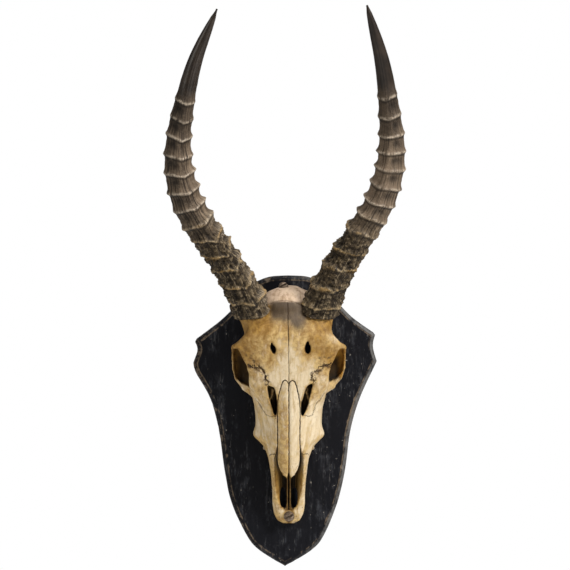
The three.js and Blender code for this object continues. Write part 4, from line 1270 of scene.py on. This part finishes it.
def boneFinish():
    f = Finish("dryBone", Specular_IOR_Level=0.35)
    spot = f.spot()
    paintedHollowShade, enclosed, paintedHoleShade, paintedOrbitLight, spotty, pits, ochreAndPaintedLight, stain, blush = f.marks(
        "paintedHollowShade", "enclosed", "paintedHoleShade", "paintedOrbitLight", "spotty", "pits", "ochreAndPaintedLight", "stain", "blush")
    gap, seam, jag, lace, midGap, midSeam = f.marks("gap", "seam", "jag", "lace", "midGap", "midSeam")
    cloud = f.noise(spot, 45, 4, 0.6)
    fleck = f.noise(spot, 230, 5, 0.65)
    fibre = f.noise(spot, 520, 3, 0.6, squeeze=(1, 1, 0.14))
    grainy = f.noise(spot, 260, 4, 0.65, 0.6, squeeze=(1, 1, 0.25))
    streak = f.noise(spot, 190, 4, 0.62, 0.4, squeeze=(1, 0.6, 0.09))
    pore = f.ramp(f.noise(spot, 1100, 2, 0.5), 0.64, 0.74)
    cream = f.layers(
        f.mix(cloud, (0.7, 0.55, 0.34), (0.84, 0.73, 0.55)),
        (f.ramp(fibre, 0.35, 0.7) * 0.4, (0.58, 0.42, 0.2)),
        (f.ramp(streak, 0.5, 0.68) * 0.5, (0.5, 0.33, 0.13)))
    golden = f.mix(f.ramp(fleck, 0.35, 0.66), (0.33, 0.18, 0.045), (0.64, 0.45, 0.19))
    brown = f.mix(f.ramp(fleck, 0.35, 0.68), (0.2, 0.095, 0.014), (0.44, 0.25, 0.055))
    aged = ochreAndPaintedLight + (fleck - 0.5) * 0.8 + (grainy - 0.5) * 0.85 + (streak - 0.5) * 0.4
    pink = f.mix(fibre, (0.54, 0.39, 0.27), (0.74, 0.58, 0.44))
    pink = f.mix(f.ramp(streak * 0.6 + grainy * 0.4, 0.47, 0.62) * 0.8, pink, (0.32, 0.2, 0.125))
    veil = f.ramp(stain + (grainy - 0.5) * 0.55 + (streak - 0.5) * 0.5, 0.0, 1.0)
    soot = f.mix(fibre, (0.03, 0.0195, 0.0115), (0.105, 0.072, 0.046))
    spots = f.ramp(f.noise(spot, 360, 3, 0.6) + (cloud - 0.5) * 0.3, 0.58, 0.68) * spotty
    # painted shade in recesses, from how enclosed each point is
    paintedRecessShade = f.ramp(enclosed + fleck * 0.25, 0.42, 0.95)
    # seams: thin lines that wander, with small pits beside the jagged ones
    wander = (f.noise(spot, 420, 2, 0.6) - 0.5) * 3.2 + (f.noise(spot, 150, 2, 0.5) - 0.5) * 2.4
    line = (1 - f.ramp((gap + wander * jag).size(), 0.2, 0.66)) * seam
    line = line.most((1 - f.ramp((midGap + wander * 0.25).size(), 0.16, 0.58)) * midSeam)
    dots = f.ramp(f.noise(spot, 480, 2, 0.6), 0.54, 0.62) * lace
    # painted shade for the orbits, the nose and deep recesses
    cave = f.mix(f.ramp(enclosed, 0.2, 0.65), (0.025, 0.0105, 0.0013), (0.004, 0.002, 0.0008))
    cave = f.mix(paintedOrbitLight * f.ramp(fleck + streak, 0.5, 1.1), cave, (0.4, 0.19, 0.022))
    colour = f.layers(
        cream, (f.ramp(aged, 0.08, 0.55), golden), (f.ramp(aged, 0.55, 1.0), brown), (blush * 0.85, pink),
        (veil * 0.94, soot), (pore * 0.35 * (0.35 + ochreAndPaintedLight), (0.2, 0.12, 0.05)),
        (spots * 0.6, (0.2, 0.1, 0.022)), (paintedRecessShade * 0.75, (0.2, 0.11, 0.03)), (pits, (0.12, 0.065, 0.02)),
        ((line * 1.2).most(dots * 0.8), (0.03, 0.0135, 0.004)), (paintedHollowShade * 0.96, cave),
        (paintedHoleShade, (0.004, 0.002, 0.001)))
    f.bump(fleck * 0.6 + fibre * 0.45 - pore * 0.3 - line * 1.2 - dots, 0.0008, 0.5)
    return f.close(colour, 0.5 + fleck * 0.25 + paintedHollowShade.most(line) * 0.3)


settle(makeSkull(), "skull", boneFinish())
print("skull done")
